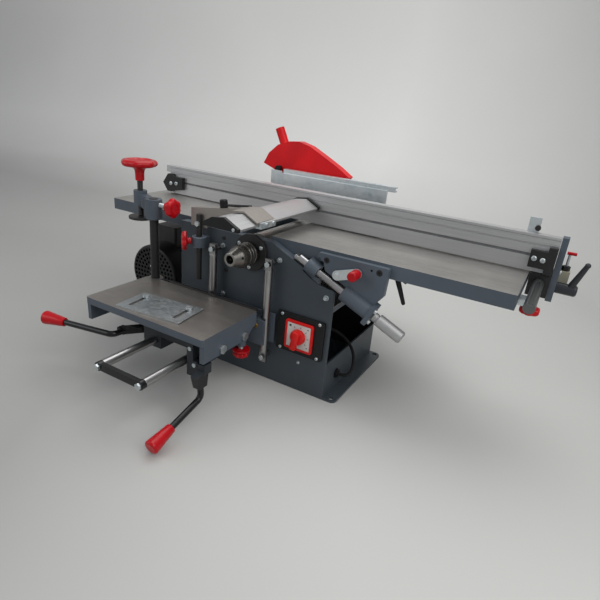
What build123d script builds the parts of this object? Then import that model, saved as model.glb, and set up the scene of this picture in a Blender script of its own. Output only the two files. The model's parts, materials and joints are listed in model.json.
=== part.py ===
from build123d import *
import os
from math import acos, atan2, cos, degrees, hypot, pi, radians, sin, sqrt, tan

os.makedirs("parts", exist_ok=True)

# All sizes in mm. Origin at the centre of the four foot holes on the floor.
# X along the tables, Y to the back, Z up.
run_fit = 0.05
seat_fit = 0.02

# cabinet
cab_x = 190
cab_y = 129
sheet = 4
cheek_top = 302
cheek_foot = 175
cheek_t = 16
end_wall_z = 80
foot_x = 218
foot_t = 5
foot_round = 12
foot_hole_x = 206
foot_hole_y = 119
foot_hole_r = 5.5

# inclined guide rods of the infeed table
incline = 24.25
rod_x = 109.3
rod_z = 281.7
rod_y = 121
rod_r = 8
rod_from = -13
rod_to = 150
rod_bed = 8.6
boss_from = 16
boss_to = 42
boss_r = 13.5
sleeve_r = 15.5
sleeve_from = 104
sleeve_to = 164
flange_t = 9
stub_r = 6
handle_from = 176
handle_to = 240
handle_r = 12

# tables
table_y = 109
table_t = 26
table_skin = 12
table_rim = 12
outfeed_top = 309
outfeed_from = -420
throat = 30
lip = 12
infeed_top = 308.5
infeed_to = 493
infeed_gap = 0.5
apron_t = 12
apron_round = 4

# spindle
spin_z = 273
cut_r = 36
block_r = 33.5
shaft_r = 12.5
bearing_r = 26
cap_r = 38
rear_cap_r = 28
cap_t = 8
cap_pcd_r = 30.3
chuck_back = -142
chuck_front = -203
chuck_bore = 7
chuck_r = 23
pulley_from = 139
pulley_to = 155
pulley_r = 28
groove_deep = 8
groove_half = 6
blade_r = 100
blade_y = 163
blade_t = 2
blade_teeth = 40
collar_r = 24

# motor
motor_x = -347
motor_z = 121
motor_r = 69
cowl_r = 74
cowl_from = -60
cowl_to = -10
motor_to = 100
bell_to = 118
motor_shaft_r = 9.5
motor_pulley_r = 40
bracket_drop = 7
bracket_t = 6
foot_in = 36
foot_wide = 28
box_left = 40
box_right = 24
box_high = 45

# fence
fence_y = 44
fence_t = 20
fence_low = 312
fence_high = 379
fence_from = -386
fence_lip_from = -397
fence_to = 530
tilt_y = 60
tilt_z = 316
tilt_pin_r = 3.5
tube_off = 20
tube_x = infeed_to + tube_off
tube_z = 293
tube_r = 9.5
end_gap = 0.6
end_plate_x = fence_to + end_gap
end_plate_t = 11

# bridge guard
guard_near = -248
guard_far = 35
guard_cap_t = 7
guard_cap_proud = 2.4
guard_top = [(-19, 349.5), (-2, 360.5), (24, 364), (53, 348.5)]
guard_t = 4
post_x = -121
post_y = -149
post_r = 6
arm_t = 3.5
arm_left = -146.5
arm_right = -24
arm_high = 339.4
arm_rise = 0.144
arm_near = -197
arm_mid = -165
arm_far = -140
arm_back = -126

# mortising unit
bar_left = -82.7
bar_right = 54.6
bar_y = -149
bar_r = 8
stroke_left = -103
stroke_right = -4
stroke_z = 108
stroke_r = 8
cross_near = -277
cross_back = -209
cross_z = 130
cross_r = 7
top_z = 168
top_t = 14
top_left = -252
top_right = 46
top_near = -331
top_back = -166
skirt_t = 9
skirt_low = 120
hold_x = -234
hold_y = -163
hold_r = 9.5
screw_x = -272
screw_r = 6

ce = cos(radians(incline))
se = sin(radians(incline))


def slab(low, high):
    size = [h - l for l, h in zip(low, high)]
    mid = [(h + l) / 2 for l, h in zip(low, high)]
    return Pos(*mid) * Box(*size)


def bar(start, end, r, r_end=None):
    run = Vector(*end) - Vector(*start)
    foot = (Align.CENTER, Align.CENTER, Align.MIN)
    body = Cylinder(r, run.length, align=foot) if r_end is None else Cone(r, r_end, run.length, align=foot)
    return Plane(origin=start, z_dir=run) * body


def hexagon(start, end, flats):
    run = Vector(*end) - Vector(*start)
    return Plane(origin=start, z_dir=run) * extrude(RegularPolygon(flats / sqrt(3), 6), amount=run.length)


def plate_x(points, x0, x1):
    face = make_face(Polyline(*[(x0, y, z) for y, z in points], close=True))
    return extrude(face, amount=x1 - x0, dir=(1, 0, 0))


def plate_y(points, y0, y1):
    face = make_face(Polyline(*[(x, y0, z) for x, z in points], close=True))
    return extrude(face, amount=y1 - y0, dir=(0, 1, 0))


def plate_z(points, z0, z1):
    face = make_face(Polyline(*[(x, y, z0) for x, y in points], close=True))
    return extrude(face, amount=z1 - z0, dir=(0, 0, 1))


def turned(points, origin, axis):
    face = make_face(Polyline(*[(r, 0, h) for r, h in points], close=True))
    return Plane(origin=origin, z_dir=axis) * revolve(face, Axis.Z)


def along(s, n):
    """XZ point at s down an inclined guide rod and n square to it."""
    return (rod_x + s * ce + n * se, rod_z - s * se + n * ce)


def along3(s, n, y):
    x, z = along(s, n)
    return (x, y, z)


def slant(x):
    """Height of the slanted cheek edge under the rod."""
    s = (x - rod_x + rod_bed * se) / ce
    return along(s, -rod_bed)[1]


def slant_start():
    s = (rod_z - cheek_top - rod_bed * ce) / se
    return along(s, -rod_bed)[0]


def mirrored(shape):
    return mirror(shape, about=Plane.XZ)


def both(shape):
    return [shape, mirrored(shape)]


def star(center, axis, r, t, lobes=6):
    """Star knob: a disc with round lobes, its back face at the centre point."""
    face = Circle(r * 0.74)
    for k in range(lobes):
        a = 2 * pi * k / lobes
        face += Pos(r * 0.72 * cos(a), r * 0.72 * sin(a)) * Circle(r * 0.28)
    return Plane(origin=center, z_dir=axis) * extrude(face, amount=t)


def save(name, *solids):
    shape = solids[0] if len(solids) == 1 else Compound(children=list(solids))
    export_step(shape, "parts/" + name + ".step")


# cabinet

def panel_outline():
    return [(-cab_x, 0), (cab_x, 0), (cab_x, slant(cab_x)), (slant_start(), cheek_top), (-cab_x, cheek_top)]


def base_cabinet():
    start = boss_from - 0.5
    edge = ((start, 2), (start, -boss_r - 0.5), (boss_to + 4, -18), (boss_to + 14, -17), (boss_to + 42, -10),
            (boss_to + 42, 2))
    notch = [along(s, n) for s, n in edge]
    front = plate_y(panel_outline(), -cab_y, -cab_y + sheet)
    front -= plate_y(notch, -cab_y - 1, -cab_y + sheet + 1)
    front -= bar((0, -cab_y - 1, spin_z), (0, -cab_y + sheet + 1, spin_z), collar_r)
    body = front + mirrored(front)
    body -= slab((switch_box[0] - 0.5, -cab_y - 1, switch_box[2] - 0.5),
                 (switch_box[1] + 0.5, -cab_y + sheet + 1, switch_box[3] + 0.5))
    for x0, x1 in ((cab_x - sheet, cab_x), (-cab_x, -cab_x + sheet)):
        body += slab((x0, -cab_y, 0), (x1, cab_y, end_wall_z))
    foot = slab((-foot_x, -cab_y, 0), (foot_x, cab_y, foot_t))
    body += fillet(foot.edges().filter_by(Axis.Z), foot_round)
    for x in (-foot_hole_x, foot_hole_x):
        for y in (-foot_hole_y, foot_hole_y):
            body -= bar((x, y, -1), (x, y, foot_t + 1), foot_hole_r)
    body -= bar((cab_x - sheet - 1, gland_y, gland_z), (cab_x + 1, gland_y, gland_z), gland_r + seat_fit)
    return body


switch_box = (92, 152, 91, 151)
gland_y = -72
gland_z = 37
gland_r = 7


def cheek():
    y0 = -cab_y + sheet
    left = -cab_x + sheet
    right = 150
    outline = [(left, cheek_foot), (right, cheek_foot), (right, slant(right)), (slant_start(), cheek_top),
               (left, cheek_top)]
    body = plate_y(outline, y0, y0 + cheek_t)
    corners = ((boss_from, -boss_r), (boss_to, -boss_r), (boss_to, boss_r), (boss_from, boss_r))
    web = [along(s, n) for s, n in corners]
    body += plate_y(web, -rod_y, y0 + cheek_t)
    body += bar(along3(boss_from, 0, -rod_y), along3(boss_to, 0, -rod_y), boss_r)
    body -= bar(along3(boss_from - 5, 0, -rod_y), along3(boss_to + 5, 0, -rod_y), rod_r + seat_fit)
    body -= bar((0, y0 - 1, spin_z), (0, y0 + cheek_t + 1, spin_z), bearing_r + seat_fit)
    return body


def guide_rod():
    rod = bar(along3(rod_from, 0, -rod_y), along3(rod_to, 0, -rod_y), rod_r)
    flat = [along(rod_from - 1, 4), along(rod_from + 9, 4), along(rod_from + 9, 10), along(rod_from - 1, 10)]
    return rod - plate_y(flat, -rod_y - 10, -rod_y + 10)


def bearing_cap(r):
    cap = bar((0, -cab_y - cap_t, spin_z), (0, -cab_y, spin_z), r)
    return cap - bar((0, -cab_y - cap_t - 1, spin_z), (0, -cab_y + 1, spin_z), shaft_r + 2)


def bearing():
    y0 = -cab_y + sheet
    ring = bar((0, y0, spin_z), (0, y0 + cheek_t, spin_z), bearing_r)
    return ring - bar((0, y0 - 1, spin_z), (0, y0 + cheek_t + 1, spin_z), shaft_r + run_fit)


def cabinet_bolts():
    heads = []
    for x, z in ((-73, 270.5), (66, 271), (-70, 164.5), (174, 221)):
        washer = bar((x, -cab_y - 1.5, z), (x, -cab_y, z), 5.5)
        heads.append(washer + hexagon((x, -cab_y - 5.5, z), (x, -cab_y - 1.5, z), 8))
    for x in (bar_left, bar_right):
        for z in (265, 63):
            heads.append(hexagon((x, bar_y - bar_r + 1, z), (x, bar_y - bar_r + 4, z), 10))
    for x in (switch_mid_x - 42.5, switch_mid_x + 42.5):
        for z in (91.3, 165.7):
            heads.append(bar((x, -cab_y - switch_t - 2.5, z), (x, -cab_y - switch_t, z), 3.6))
    for x, z in ((-72, 286.5), (-64, 218.5)):
        head = bar((x, -cab_y - 2, z), (x, -cab_y, z), 4.5)
        heads.append(head - hexagon((x, -cab_y - 3, z), (x, -cab_y - 0.5, z), 4.5))
    for a in (30, 150, 270):
        x = cap_pcd_r * cos(radians(a))
        z = spin_z + cap_pcd_r * sin(radians(a))
        head = bar((x, -cab_y - cap_t - 3, z), (x, -cab_y - cap_t, z), 4.2)
        heads.append(head - hexagon((x, -cab_y - cap_t - 4, z), (x, -cab_y - cap_t - 1.2, z), 4))
    heads.append(bar((128, -cab_y - 2.5, 65), (128, -cab_y, 65), 3.5))
    return heads


switch_mid_x = 128
switch_t = 6
dial_z = 128


def switch_plate():
    plate = slab((74, -cab_y - switch_t, 86), (181, -cab_y, 171))
    plate = fillet(plate.edges().filter_by(Axis.Y), 4)
    housing = slab((switch_box[0], -cab_y, switch_box[2]), (switch_box[1], -80, switch_box[3]))
    y1 = -cab_y - switch_t
    frame = slab((switch_mid_x - 31.5, y1 - 5, dial_z - 31.5), (switch_mid_x + 31.5, y1, dial_z + 31.5))
    frame = fillet(frame.edges().filter_by(Axis.Y), 5)
    frame -= slab((switch_mid_x - 26, y1 - 6, dial_z - 26), (switch_mid_x + 26, y1 - 2, dial_z + 26))
    dial = slab((switch_mid_x - 26, y1 - 4, dial_z - 26), (switch_mid_x + 26, y1 - 2, dial_z + 26))
    return plate, housing, frame, dial


def switch_knob():
    y1 = -cab_y - switch_t - 4
    base = bar((switch_mid_x, y1 - 8, dial_z), (switch_mid_x, y1, dial_z), 16)
    grip = slab((-7.5, -6.5, -26), (7.5, 6.5, 18))
    grip = Pos(switch_mid_x, y1 - 13, dial_z) * Rot(0, 10, 0) * grip
    return base + grip


# planing tables

def table(top, inner, outer, half_y):
    """Ribbed cast table from the throat at inner to the far end at outer."""
    way = 1 if outer > inner else -1
    low = top - table_t
    throat_pts = [(inner, top), (inner, top - 6), (inner + way * lip, low), (inner + way * 3 * lip, low),
                  (inner + way * 3 * lip, top)]
    body = plate_y(throat_pts, -half_y, half_y)
    x0 = min(inner + way * 2 * lip, outer)
    x1 = max(inner + way * 2 * lip, outer)
    body += slab((x0, -half_y, top - table_skin), (x1, half_y, top))
    for y0, y1 in ((-half_y, -half_y + table_rim), (half_y - table_rim, half_y), (-5, 5)):
        body += slab((x0, y0, low), (x1, y1, top))
    for share in (0.36, 0.68):
        x = inner + (outer - inner) * share
        body += slab((x - 5, -half_y, low), (x + 5, half_y, top))
    end = (outer - table_rim, outer) if way > 0 else (outer, outer + table_rim)
    body += slab((end[0], -half_y, low), (end[1], half_y, top))
    return body


def infeed_table():
    body = table(infeed_top, throat, infeed_to, table_y - infeed_gap)
    rim = -table_y + infeed_gap + table_rim
    deep = rim - lever_pin_long - 0.5
    return body - bar((lever_x, deep, lever_z), (lever_x, rim + 1, lever_z), lever_pin_r + run_fit)


lever_x = 288.5
lever_z = 289.5
lever_pin_r = 3
lever_pin_long = 8
lever_reach = (22, -52)


def table_lock_lever():
    rim = -table_y + infeed_gap + table_rim + 0.4
    hub = bar((lever_x, rim, lever_z), (lever_x, rim + 11, lever_z), 6)
    pin = bar((lever_x, rim - lever_pin_long, lever_z), (lever_x, rim, lever_z), lever_pin_r)
    tip = (lever_x + lever_reach[0], rim + 5.5, lever_z + lever_reach[1])
    arm = bar((lever_x, rim + 5.5, lever_z), tip, 5.2, 3.6)
    return hub + pin + arm + Pos(*tip) * Sphere(3.6)


def apron(y_near, y_far, top, flanged):
    pts = [(142, top), (284, top), (281, 250), along(sleeve_to, 18), along(sleeve_to, -12),
           along(sleeve_from, -12), along(sleeve_from, 11), along(52, 11), (156, 287), (142, 293)]
    body = plate_y(pts, y_near, y_far)
    rounded = body.edges().filter_by(Axis.Y).filter_by_position(Axis.Z, top - 0.1, top + 0.1)
    body = fillet(rounded, apron_round)
    body += bar(along3(sleeve_from, 0, -rod_y), along3(sleeve_to, 0, -rod_y), sleeve_r)
    end = sleeve_to
    if flanged:
        end = sleeve_to + flange_t
        head = [along(s, n) for s, n in ((sleeve_to, -19), (end, -19), (end, 19), (sleeve_to, 19))]
        body += plate_y(head, -rod_y - 17, -rod_y + 17)
    body -= bar(along3(sleeve_from - 40, 0, -rod_y), along3(sleeve_to, 0, -rod_y), rod_r + run_fit)
    return body - bar(along3(sleeve_to - 1, 0, -rod_y), along3(end + 1, 0, -rod_y), stub_r + run_fit)


def infeed_aprons():
    near = -table_y + infeed_gap - apron_t
    front = apron(near, near + apron_t, 303, True)
    for x, z in apron_bolts:
        front -= bar((x, near - 1, z), (x, near + 5, z), 6)
        front -= bar((x - 15, near - 1, z + 1), (x - 15, near + 6, z + 1), 2.2)
    back = mirrored(apron(near, near + apron_t, 300, False))
    heads = []
    for x, z in apron_bolts:
        head = bar((x, near + 0.5, z), (x, near + 5, z), 5.5)
        heads.append(head - hexagon((x, near, z), (x, near + 3, z), 5))
    for n in (-12.5, 12.5):
        start = along3(sleeve_to + flange_t, n, -rod_y - 8)
        heads.append(hexagon(start, along3(sleeve_to + flange_t + 4, n, -rod_y - 8), 7))
    return front, back, *heads


apron_bolts = ((162, 291), (267, 292))


def infeed_handle():
    s = Vector(*along3(sleeve_to - 12, 0, -rod_y))
    run = handle_from - sleeve_to + 12
    pts = [(0, 0), (stub_r, 0), (stub_r, run), (9, run), (9, run + 8), (handle_r, run + 11),
           (handle_r, run + handle_to - handle_from - 2), (handle_r - 2, run + handle_to - handle_from),
           (0, run + handle_to - handle_from)]
    return turned(pts, s, (ce, 0, -se))


crank_x = 188
crank_z = 269
crank_reach = 41
crank_tilt = 18
crank_y = -122.5
crank_t = 3


def lock_crank():
    tip_x = crank_x + crank_reach * cos(radians(crank_tilt))
    tip_z = crank_z + crank_reach * sin(radians(crank_tilt))
    wide = 9.5
    nx = -wide * sin(radians(crank_tilt))
    nz = wide * cos(radians(crank_tilt))
    pts = [(crank_x + nx, crank_z + nz), (crank_x - nx, crank_z - nz), (tip_x - nx, tip_z - nz),
           (tip_x + nx, tip_z + nz)]
    strap = plate_y(pts, crank_y - crank_t, crank_y)
    for x, z in ((crank_x, crank_z), (tip_x, tip_z)):
        strap += bar((x, crank_y - crank_t, z), (x, crank_y, z), wide)
    strap += bar((crank_x, crank_y, crank_z), (crank_x, -table_y + infeed_gap - apron_t, crank_z), 6)
    strap += hexagon((crank_x, crank_y - crank_t - 3, crank_z), (crank_x, crank_y - crank_t, crank_z), 9)
    knob = bar((tip_x, crank_y - crank_t - 25, tip_z), (tip_x, crank_y - crank_t, tip_z), wide)
    knob = fillet(knob.edges().group_by(Axis.Y)[0], 2)
    return strap, knob


# spindle, drive and motor

def spindle_shaft():
    return bar((0, -165, spin_z), (0, 182, spin_z), shaft_r)


def cutter_block():
    half = 106
    block = bar((0, -half, spin_z), (0, half, spin_z), block_r)
    block -= bar((0, -half - 1, spin_z), (0, half + 1, spin_z), shaft_r + seat_fit)
    knives = []
    for k in (0, 1):
        turn = Pos(0, 0, spin_z) * Rot(0, 90 + 180 * k, 0)
        block -= turn * slab((-4, -half - 1, 18), (8, half + 1, cut_r))
        wedge = turn * slab((-0.9, -half + 2, 18), (8, half - 2, 29))
        knife = turn * slab((-4, -half + 2, 18), (-1, half - 2, cut_r - 0.3))
        knives += [wedge, knife]
    return block, *knives


def drill_chuck():
    deep = -chuck_front + chuck_back
    ring, groove = chuck_r, chuck_r - 2
    pts = [(shaft_r + seat_fit, 0), (groove, 0), (ring, 1.5), (ring, 5), (groove, 6), (groove, 8.5),
           (ring, 9.5), (ring, 13), (groove, 14), (groove, 16.5), (ring, 17.5), (ring, 22),
           (groove, 23), (groove, 26.5),
           (ring - 1, 27), (ring - 1, 35), (groove - 1.5, 36), (groove - 1.5, 40), (13, deep - 1), (12, deep),
           (chuck_bore, deep), (chuck_bore, 26), (shaft_r + seat_fit, 26)]
    body = turned(pts, (0, chuck_back, spin_z), (0, -1, 0))
    jaws = []
    for k in range(3):
        jaw = slab((3.4, -2.2, 6), (chuck_bore - 0.3, 2.2, 33))
        jaws.append(Pos(0, chuck_front, spin_z) * Rot(-90, 0, 0) * Rot(0, 0, 120 * k + 90) * jaw)
    teeth = []
    for k in range(24):
        tooth = slab((ring - 1.5, -1.5, 0), (ring + 0.4, 1.5, 6))
        teeth.append(Pos(0, chuck_back - 28.5, spin_z) * Rot(90, 0, 0) * Rot(0, 0, 15 * k) * tooth)
    for tooth in teeth:
        body += tooth
    return body, *jaws


def pulley(x, z, r, bore):
    mid = (pulley_from + pulley_to) / 2
    h = mid - pulley_from
    pts = [(bore, 0), (r, 0), (r, h - groove_half), (r - groove_deep, h - groove_half + 1.5),
           (r - groove_deep, h + groove_half - 1.5), (r, h + groove_half), (r, 2 * h), (bore, 2 * h)]
    return turned(pts, (x, pulley_from, z), (0, 1, 0))


def loop(c1, r1, c2, r2, y):
    """Closed belt line round two circles, c1 being the right one."""
    run = hypot(c1[0] - c2[0], c1[1] - c2[1])
    tilt = atan2(c2[1] - c1[1], c2[0] - c1[0])
    open_a = acos((r1 - r2) / run)
    def at(c, r, a):
        return (c[0] + r * cos(a), y, c[1] + r * sin(a))
    up, down = tilt + open_a, tilt - open_a
    edges = [Line(at(c1, r1, up), at(c2, r2, up)),
             ThreePointArc(at(c2, r2, up), at(c2, r2, tilt), at(c2, r2, down)),
             Line(at(c2, r2, down), at(c1, r1, down)),
             ThreePointArc(at(c1, r1, down), at(c1, r1, tilt + pi), at(c1, r1, up))]
    return make_face(Wire(edges))


def drive_belt():
    mid = (pulley_from + pulley_to) / 2
    half = groove_half - 2.2
    gap = 0.4
    c1, c2 = (0, spin_z), (motor_x, motor_z)
    r1, r2 = pulley_r - groove_deep + gap, motor_pulley_r - groove_deep + gap
    thick = 7
    outer = extrude(loop(c1, r1 + thick, c2, r2 + thick, mid - half), amount=2 * half, dir=(0, 1, 0))
    return outer - extrude(loop(c1, r1, c2, r2, mid - half - 1), amount=2 * half + 2, dir=(0, 1, 0))


def saw_blade():
    pts = []
    for k in range(blade_teeth):
        a = 2 * pi * k / blade_teeth
        pts.append((blade_r * cos(a), spin_z + blade_r * sin(a)))
        root = blade_r - 6
        pts.append((root * cos(a + 0.012), spin_z + root * sin(a + 0.012)))
    bore = bar((0, 150, spin_z), (0, 200, spin_z), shaft_r + seat_fit)
    disc = plate_y(pts, blade_y, blade_y + blade_t) - bore
    inner = bar((0, blade_y - 6, spin_z), (0, blade_y, spin_z), collar_r) - bore
    outer = bar((0, blade_y + blade_t, spin_z), (0, blade_y + blade_t + 5, spin_z), collar_r) - bore
    nut = hexagon((0, blade_y + blade_t + 5, spin_z), (0, blade_y + blade_t + 15, spin_z), 32) - bore
    return disc, inner, outer, nut


def motor_axis(y0, y1, r):
    return bar((motor_x, y0, motor_z), (motor_x, y1, motor_z), r)


def motor_body():
    body = motor_axis(cowl_to, motor_to, motor_r - 6)
    for k in range(24):
        fin = slab((motor_r - 9, cowl_to, -1.5), (motor_r, motor_to, 1.5))
        body += Pos(motor_x, 0, motor_z) * Rot(0, 15 * k, 0) * fin
    body += motor_axis(motor_to, bell_to, motor_r - 4)
    bracket_z = motor_z - motor_r - bracket_drop
    for x0 in (motor_x - motor_r + foot_in - foot_wide, motor_x + motor_r - foot_in):
        body += slab((x0, 10, bracket_z), (x0 + foot_wide, 84, motor_z - motor_r / 2))
    wiring = slab((motor_x - box_left, cowl_to + 4, motor_z + motor_r - 14),
                  (motor_x + box_right, cowl_to + 84, motor_z + motor_r + box_high))
    body += fillet(wiring.edges().filter_by(Axis.Z), 6)
    body -= motor_axis(cowl_to - 1, bell_to + 1, motor_shaft_r + run_fit)
    bracket = slab((motor_x - motor_r, 0, bracket_z - bracket_t), (-cab_x, 96, bracket_z))
    bracket += slab((-cab_x - bracket_t, 0, foot_t), (-cab_x, 96, end_wall_z))
    return body, bracket


def drum(y0, y1, r, edge):
    body = motor_axis(y0, y1, r)
    return fillet(body.edges().group_by(Axis.Y)[0], edge)


def motor_cowl():
    cup = drum(cowl_from, cowl_to, cowl_r, 7) - drum(cowl_from + 2, cowl_to + 1, cowl_r - 2, 5)
    for ring in range(1, 7):
        count = 6 * ring
        for k in range(count):
            a = 2 * pi * k / count
            x = motor_x + 10.4 * ring * cos(a)
            z = motor_z + 10.4 * ring * sin(a)
            cup -= bar((x, cowl_from - 1, z), (x, cowl_from + 3, z), 3.4)
    rim = motor_axis(cowl_to - 3, cowl_to, cowl_r - 1) - motor_axis(cowl_to - 4, cowl_to + 1, motor_r - 2)
    return cup + rim


def motor_rotor():
    shaft = motor_axis(-44, 160, motor_shaft_r)
    fan = motor_axis(-40, -20, 20)
    for k in range(7):
        fan += Pos(motor_x, 0, motor_z) * Rot(0, 360 * k / 7, 0) * slab((15, -40, -1.5), (58, -22, 1.5))
    fan -= motor_axis(-45, -15, motor_shaft_r + seat_fit)
    return shaft, fan, pulley(motor_x, motor_z, motor_pulley_r, motor_shaft_r + seat_fit)


# thicknesser bed between the cheeks

bed_z = 187

def thicknesser_bed():
    half = table_y - 0.6
    bed = slab((-172, -half, bed_z - 12), (172, half, bed_z))
    for y in (-70, 0, 70):
        bed += slab((-160, y - 5, bed_z - 24), (160, y + 5, bed_z - 12))
    return bed


# fence

def fence_profile():
    back = fence_y + fence_t
    pts = [(fence_y, fence_low), (tilt_y, fence_low), (back, tilt_z), (back, fence_high), (fence_y, fence_high),
           (fence_y, 374.5), (fence_y + 1.2, 374), (fence_y, 373.5), (fence_y, 363), (fence_y + 1.5, 362.4),
           (fence_y + 1.5, 360.6), (fence_y, 360), (fence_y, 344), (fence_y + 4, 344), (fence_y + 4, 339),
           (fence_y, 339)]
    body = plate_x(pts, fence_from, fence_to)
    body += slab((fence_lip_from, fence_y, 363), (fence_from, back, fence_high))
    for low, high in ((324, 335), (348, 373)):
        body -= slab((fence_lip_from - 1, fence_y + 5, low), (fence_to + 1, back - 3, high))
    return body - bar((fence_to - 20, tilt_y, tilt_z), (fence_to + 1, tilt_y, tilt_z), tilt_pin_r + seat_fit)


def fence_end_blocks():
    y0 = fence_y - 10
    left_pts = [(-402, 336.5), (-385, 360), (-370, 361), (-365, 355), (-336, 355), (-337, 325), (-364, 321),
                (-374, 316), (-387, 316)]
    left = plate_y(left_pts, y0, fence_y)
    end = fence_to
    step = end - 15
    right_pts = [(end - 43, 321), (step, 321), (step, fence_low), (end, fence_low), (end, 361), (step, 361),
                 (step, 353), (end - 43, 353)]
    right = plate_y(right_pts, y0, fence_y)
    pin = bar((fence_to - 20, tilt_y, tilt_z), (end_plate_x + end_plate_t + 2, tilt_y, tilt_z), tilt_pin_r)
    back = fence_y + fence_t
    tag = slab((end - 60, back, 350), (end - 40, back + 3, 405))
    heads = [bar((end - 43, back - 6, 387), (end - 43, back, 387), 5)]
    for x, z in ((-374, 337), (-356, 338.5), (end - 35, 338), (end - 20.5, 337)):
        head = bar((x, y0 - 3, z), (x, y0, z), 5)
        heads.append(head - hexagon((x, y0 - 4, z), (x, y0 - 1, z), 5))
    return left, right, pin, tag, *heads


def fence_end_plate():
    pts = [(44, 330), (44, 381), (66, 381), (104, 330), (104, 259), (56, 259), (52, 268)]
    x0, x1 = end_plate_x, end_plate_x + end_plate_t
    plate = plate_x(pts, x0, x1)
    plate -= bar((x0 - 1, tilt_y, tilt_z), (x1 + 1, tilt_y, tilt_z), tilt_pin_r + run_fit)
    plate -= bar((x0 - 1, hub_y, hub_z), (x1 + 1, hub_y, hub_z), hub_pin_r + run_fit)
    block = slab((x1, 86, 289), (x1 + 17, 104, 313))
    nut = hexagon((x1 + 8, 95, 313), (x1 + 8, 95, 322), 13)
    pin = bar((x1 + 8, 95, 322), (x1 + 8, 95, 343), 2.5)
    tip = bar((x1 + 3, 95, 346), (x1 + 19, 95, 346), 3)
    return plate, block, nut, pin, tip


hub_y = 71
hub_z = 285
hub_pin_r = 6


def fence_carriage():
    block = slab((tube_x - 18, fence_y - 4, 268), (end_plate_x, 92, 310))
    block -= bar((tube_x, fence_y - 5, tube_z), (tube_x, 62, tube_z), tube_r + seat_fit)
    block -= bar((end_plate_x - 8, hub_y, hub_z), (end_plate_x + 1, hub_y, hub_z), hub_pin_r + run_fit)
    return block


def fence_tube():
    tube = bar((tube_x, -111, tube_z), (tube_x, 62, tube_z), tube_r)
    return tube - slab((tube_x - 2.5, -112, tube_z + tube_r - 3), (tube_x + 2.5, 30, tube_z + tube_r + 1))


bracket_y = -50
bracket_low = 279


def fence_bracket():
    block = slab((infeed_to, bracket_y - 15, bracket_low), (tube_x + 8, bracket_y + 15, tube_z - 4))
    return block - bar((tube_x, bracket_y - 16, tube_z), (tube_x, bracket_y + 16, tube_z), tube_r + run_fit)


def fence_lock_knob():
    stem = bar((tube_x, bracket_y, bracket_low - 3), (tube_x, bracket_y, bracket_low), 8)
    return stem + star((tube_x, bracket_y, bracket_low - 3), (0, 0, -1), 18, 13)


def tilt_lever():
    x1 = end_plate_x + end_plate_t
    hub = bar((x1, hub_y, hub_z), (x1 + 36, hub_y, hub_z), 10.5)
    hub = fillet(hub.edges().sort_by(Axis.X)[-1], 5)
    pin = bar((end_plate_x - 7, hub_y, hub_z), (x1, hub_y, hub_z), hub_pin_r)
    arm = bar((x1 + 23, hub_y - 1, hub_z + 4), (x1 + 39, 55, 339), 6.5, 4.5)
    return hub + pin + arm + Pos(x1 + 39, 55, 339) * Sphere(5)


# bridge guard

def guard_section(rise, drop):
    upper = [(x, z + rise) for x, z in guard_top]
    lower = [(x, z - drop) for x, z in reversed(guard_top)]
    return upper + lower


def bridge_guard():
    profile = plate_y(guard_section(0, guard_t), guard_near, guard_far)
    low = guard_top[0][1] - guard_t - 1
    outline = [(x, z + guard_cap_proud) for x, z in guard_top]
    left, right = outline[0][0] - guard_cap_proud, outline[3][0] + guard_cap_proud
    cap = [(left, low), (left, outline[0][1]), outline[1], outline[2], (right, outline[3][1]), (right, low)]
    near = plate_y(cap, guard_near - guard_cap_t, guard_near)
    far = plate_y(cap, guard_far, guard_far + guard_cap_t)
    screw = bar((46, guard_near - guard_cap_t - 2, 349), (46, guard_near - guard_cap_t, 349), 3)
    return profile, near, far, screw


def arm_line(x):
    return arm_high + (x - arm_left) * arm_rise


def guard_arm():
    low = [(arm_right - 3, 353.2), (-3, 361.8), (24.2, 365.2), (54, 349.4)]
    pts = low + [(x, z + arm_t) for x, z in reversed(low)]
    plate = plate_y(pts, arm_near, arm_far)
    plate -= slab((arm_right - 4, arm_near - 1, 345), (-3, arm_mid, 370))
    plate += slab((arm_right - 3, arm_mid, 341), (-22, arm_far, 356))
    plate += slab((-22, arm_mid, 341), (-12, arm_far, 344.6))
    front = post_y + 4.5
    face = [(arm_left, 303), (arm_left, arm_high), (arm_right, arm_line(arm_right)), (arm_right, 341),
            (-100, 322), (-104, 303)]
    plate += plate_y(face, front, front + arm_t)
    flange = [(arm_left, arm_high - arm_t), (arm_left, arm_high), (arm_right, arm_line(arm_right)),
              (arm_right, arm_line(arm_right) - arm_t)]
    plate += plate_y(flange, front, arm_back)
    strip = slab((54, -190, 341), (59, -143, 352)) + slab((46, -190, 341), (54, -143, 344))
    heads = [bar((59, y, 347), (62, y, 347), 4) for y in (-174, -151)]
    bolt = hexagon((post_x, post_y - 8.5, 311), (post_x, post_y - 4.5, 311), 10)
    return plate, strip, *heads, bolt


def guard_post():
    post = bar((post_x, post_y, 190), (post_x, post_y, 330), post_r)
    for y0, y1 in ((post_y + 4.5, post_y + 8), (post_y - 8, post_y - 4.5)):
        post -= slab((post_x - 8, y0, 298), (post_x + 8, y1, 331))
    return post


def guard_clamp():
    z0, z1 = 262, 284
    boss = bar((post_x, post_y, z0), (post_x, post_y, z1), 15)
    boss += slab((post_x - 13, post_y, z0), (post_x + 13, -cab_y, z1))
    return boss - bar((post_x, post_y, z0 - 1), (post_x, post_y, z1 + 1), post_r + run_fit)


def guard_post_knob():
    out = Vector(cos(radians(post_knob_turn)), sin(radians(post_knob_turn)), 0)
    clamp = Vector(post_x, post_y, post_knob_z)
    stem = bar(clamp + out * 15, clamp + out * 24.5, 6.5)
    return stem + star(clamp + out * 24.5, out, 20.5, 11.5)


post_knob_turn = 222.5
post_knob_z = 273.5
knob_x = -69
knob_y = -135


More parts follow.
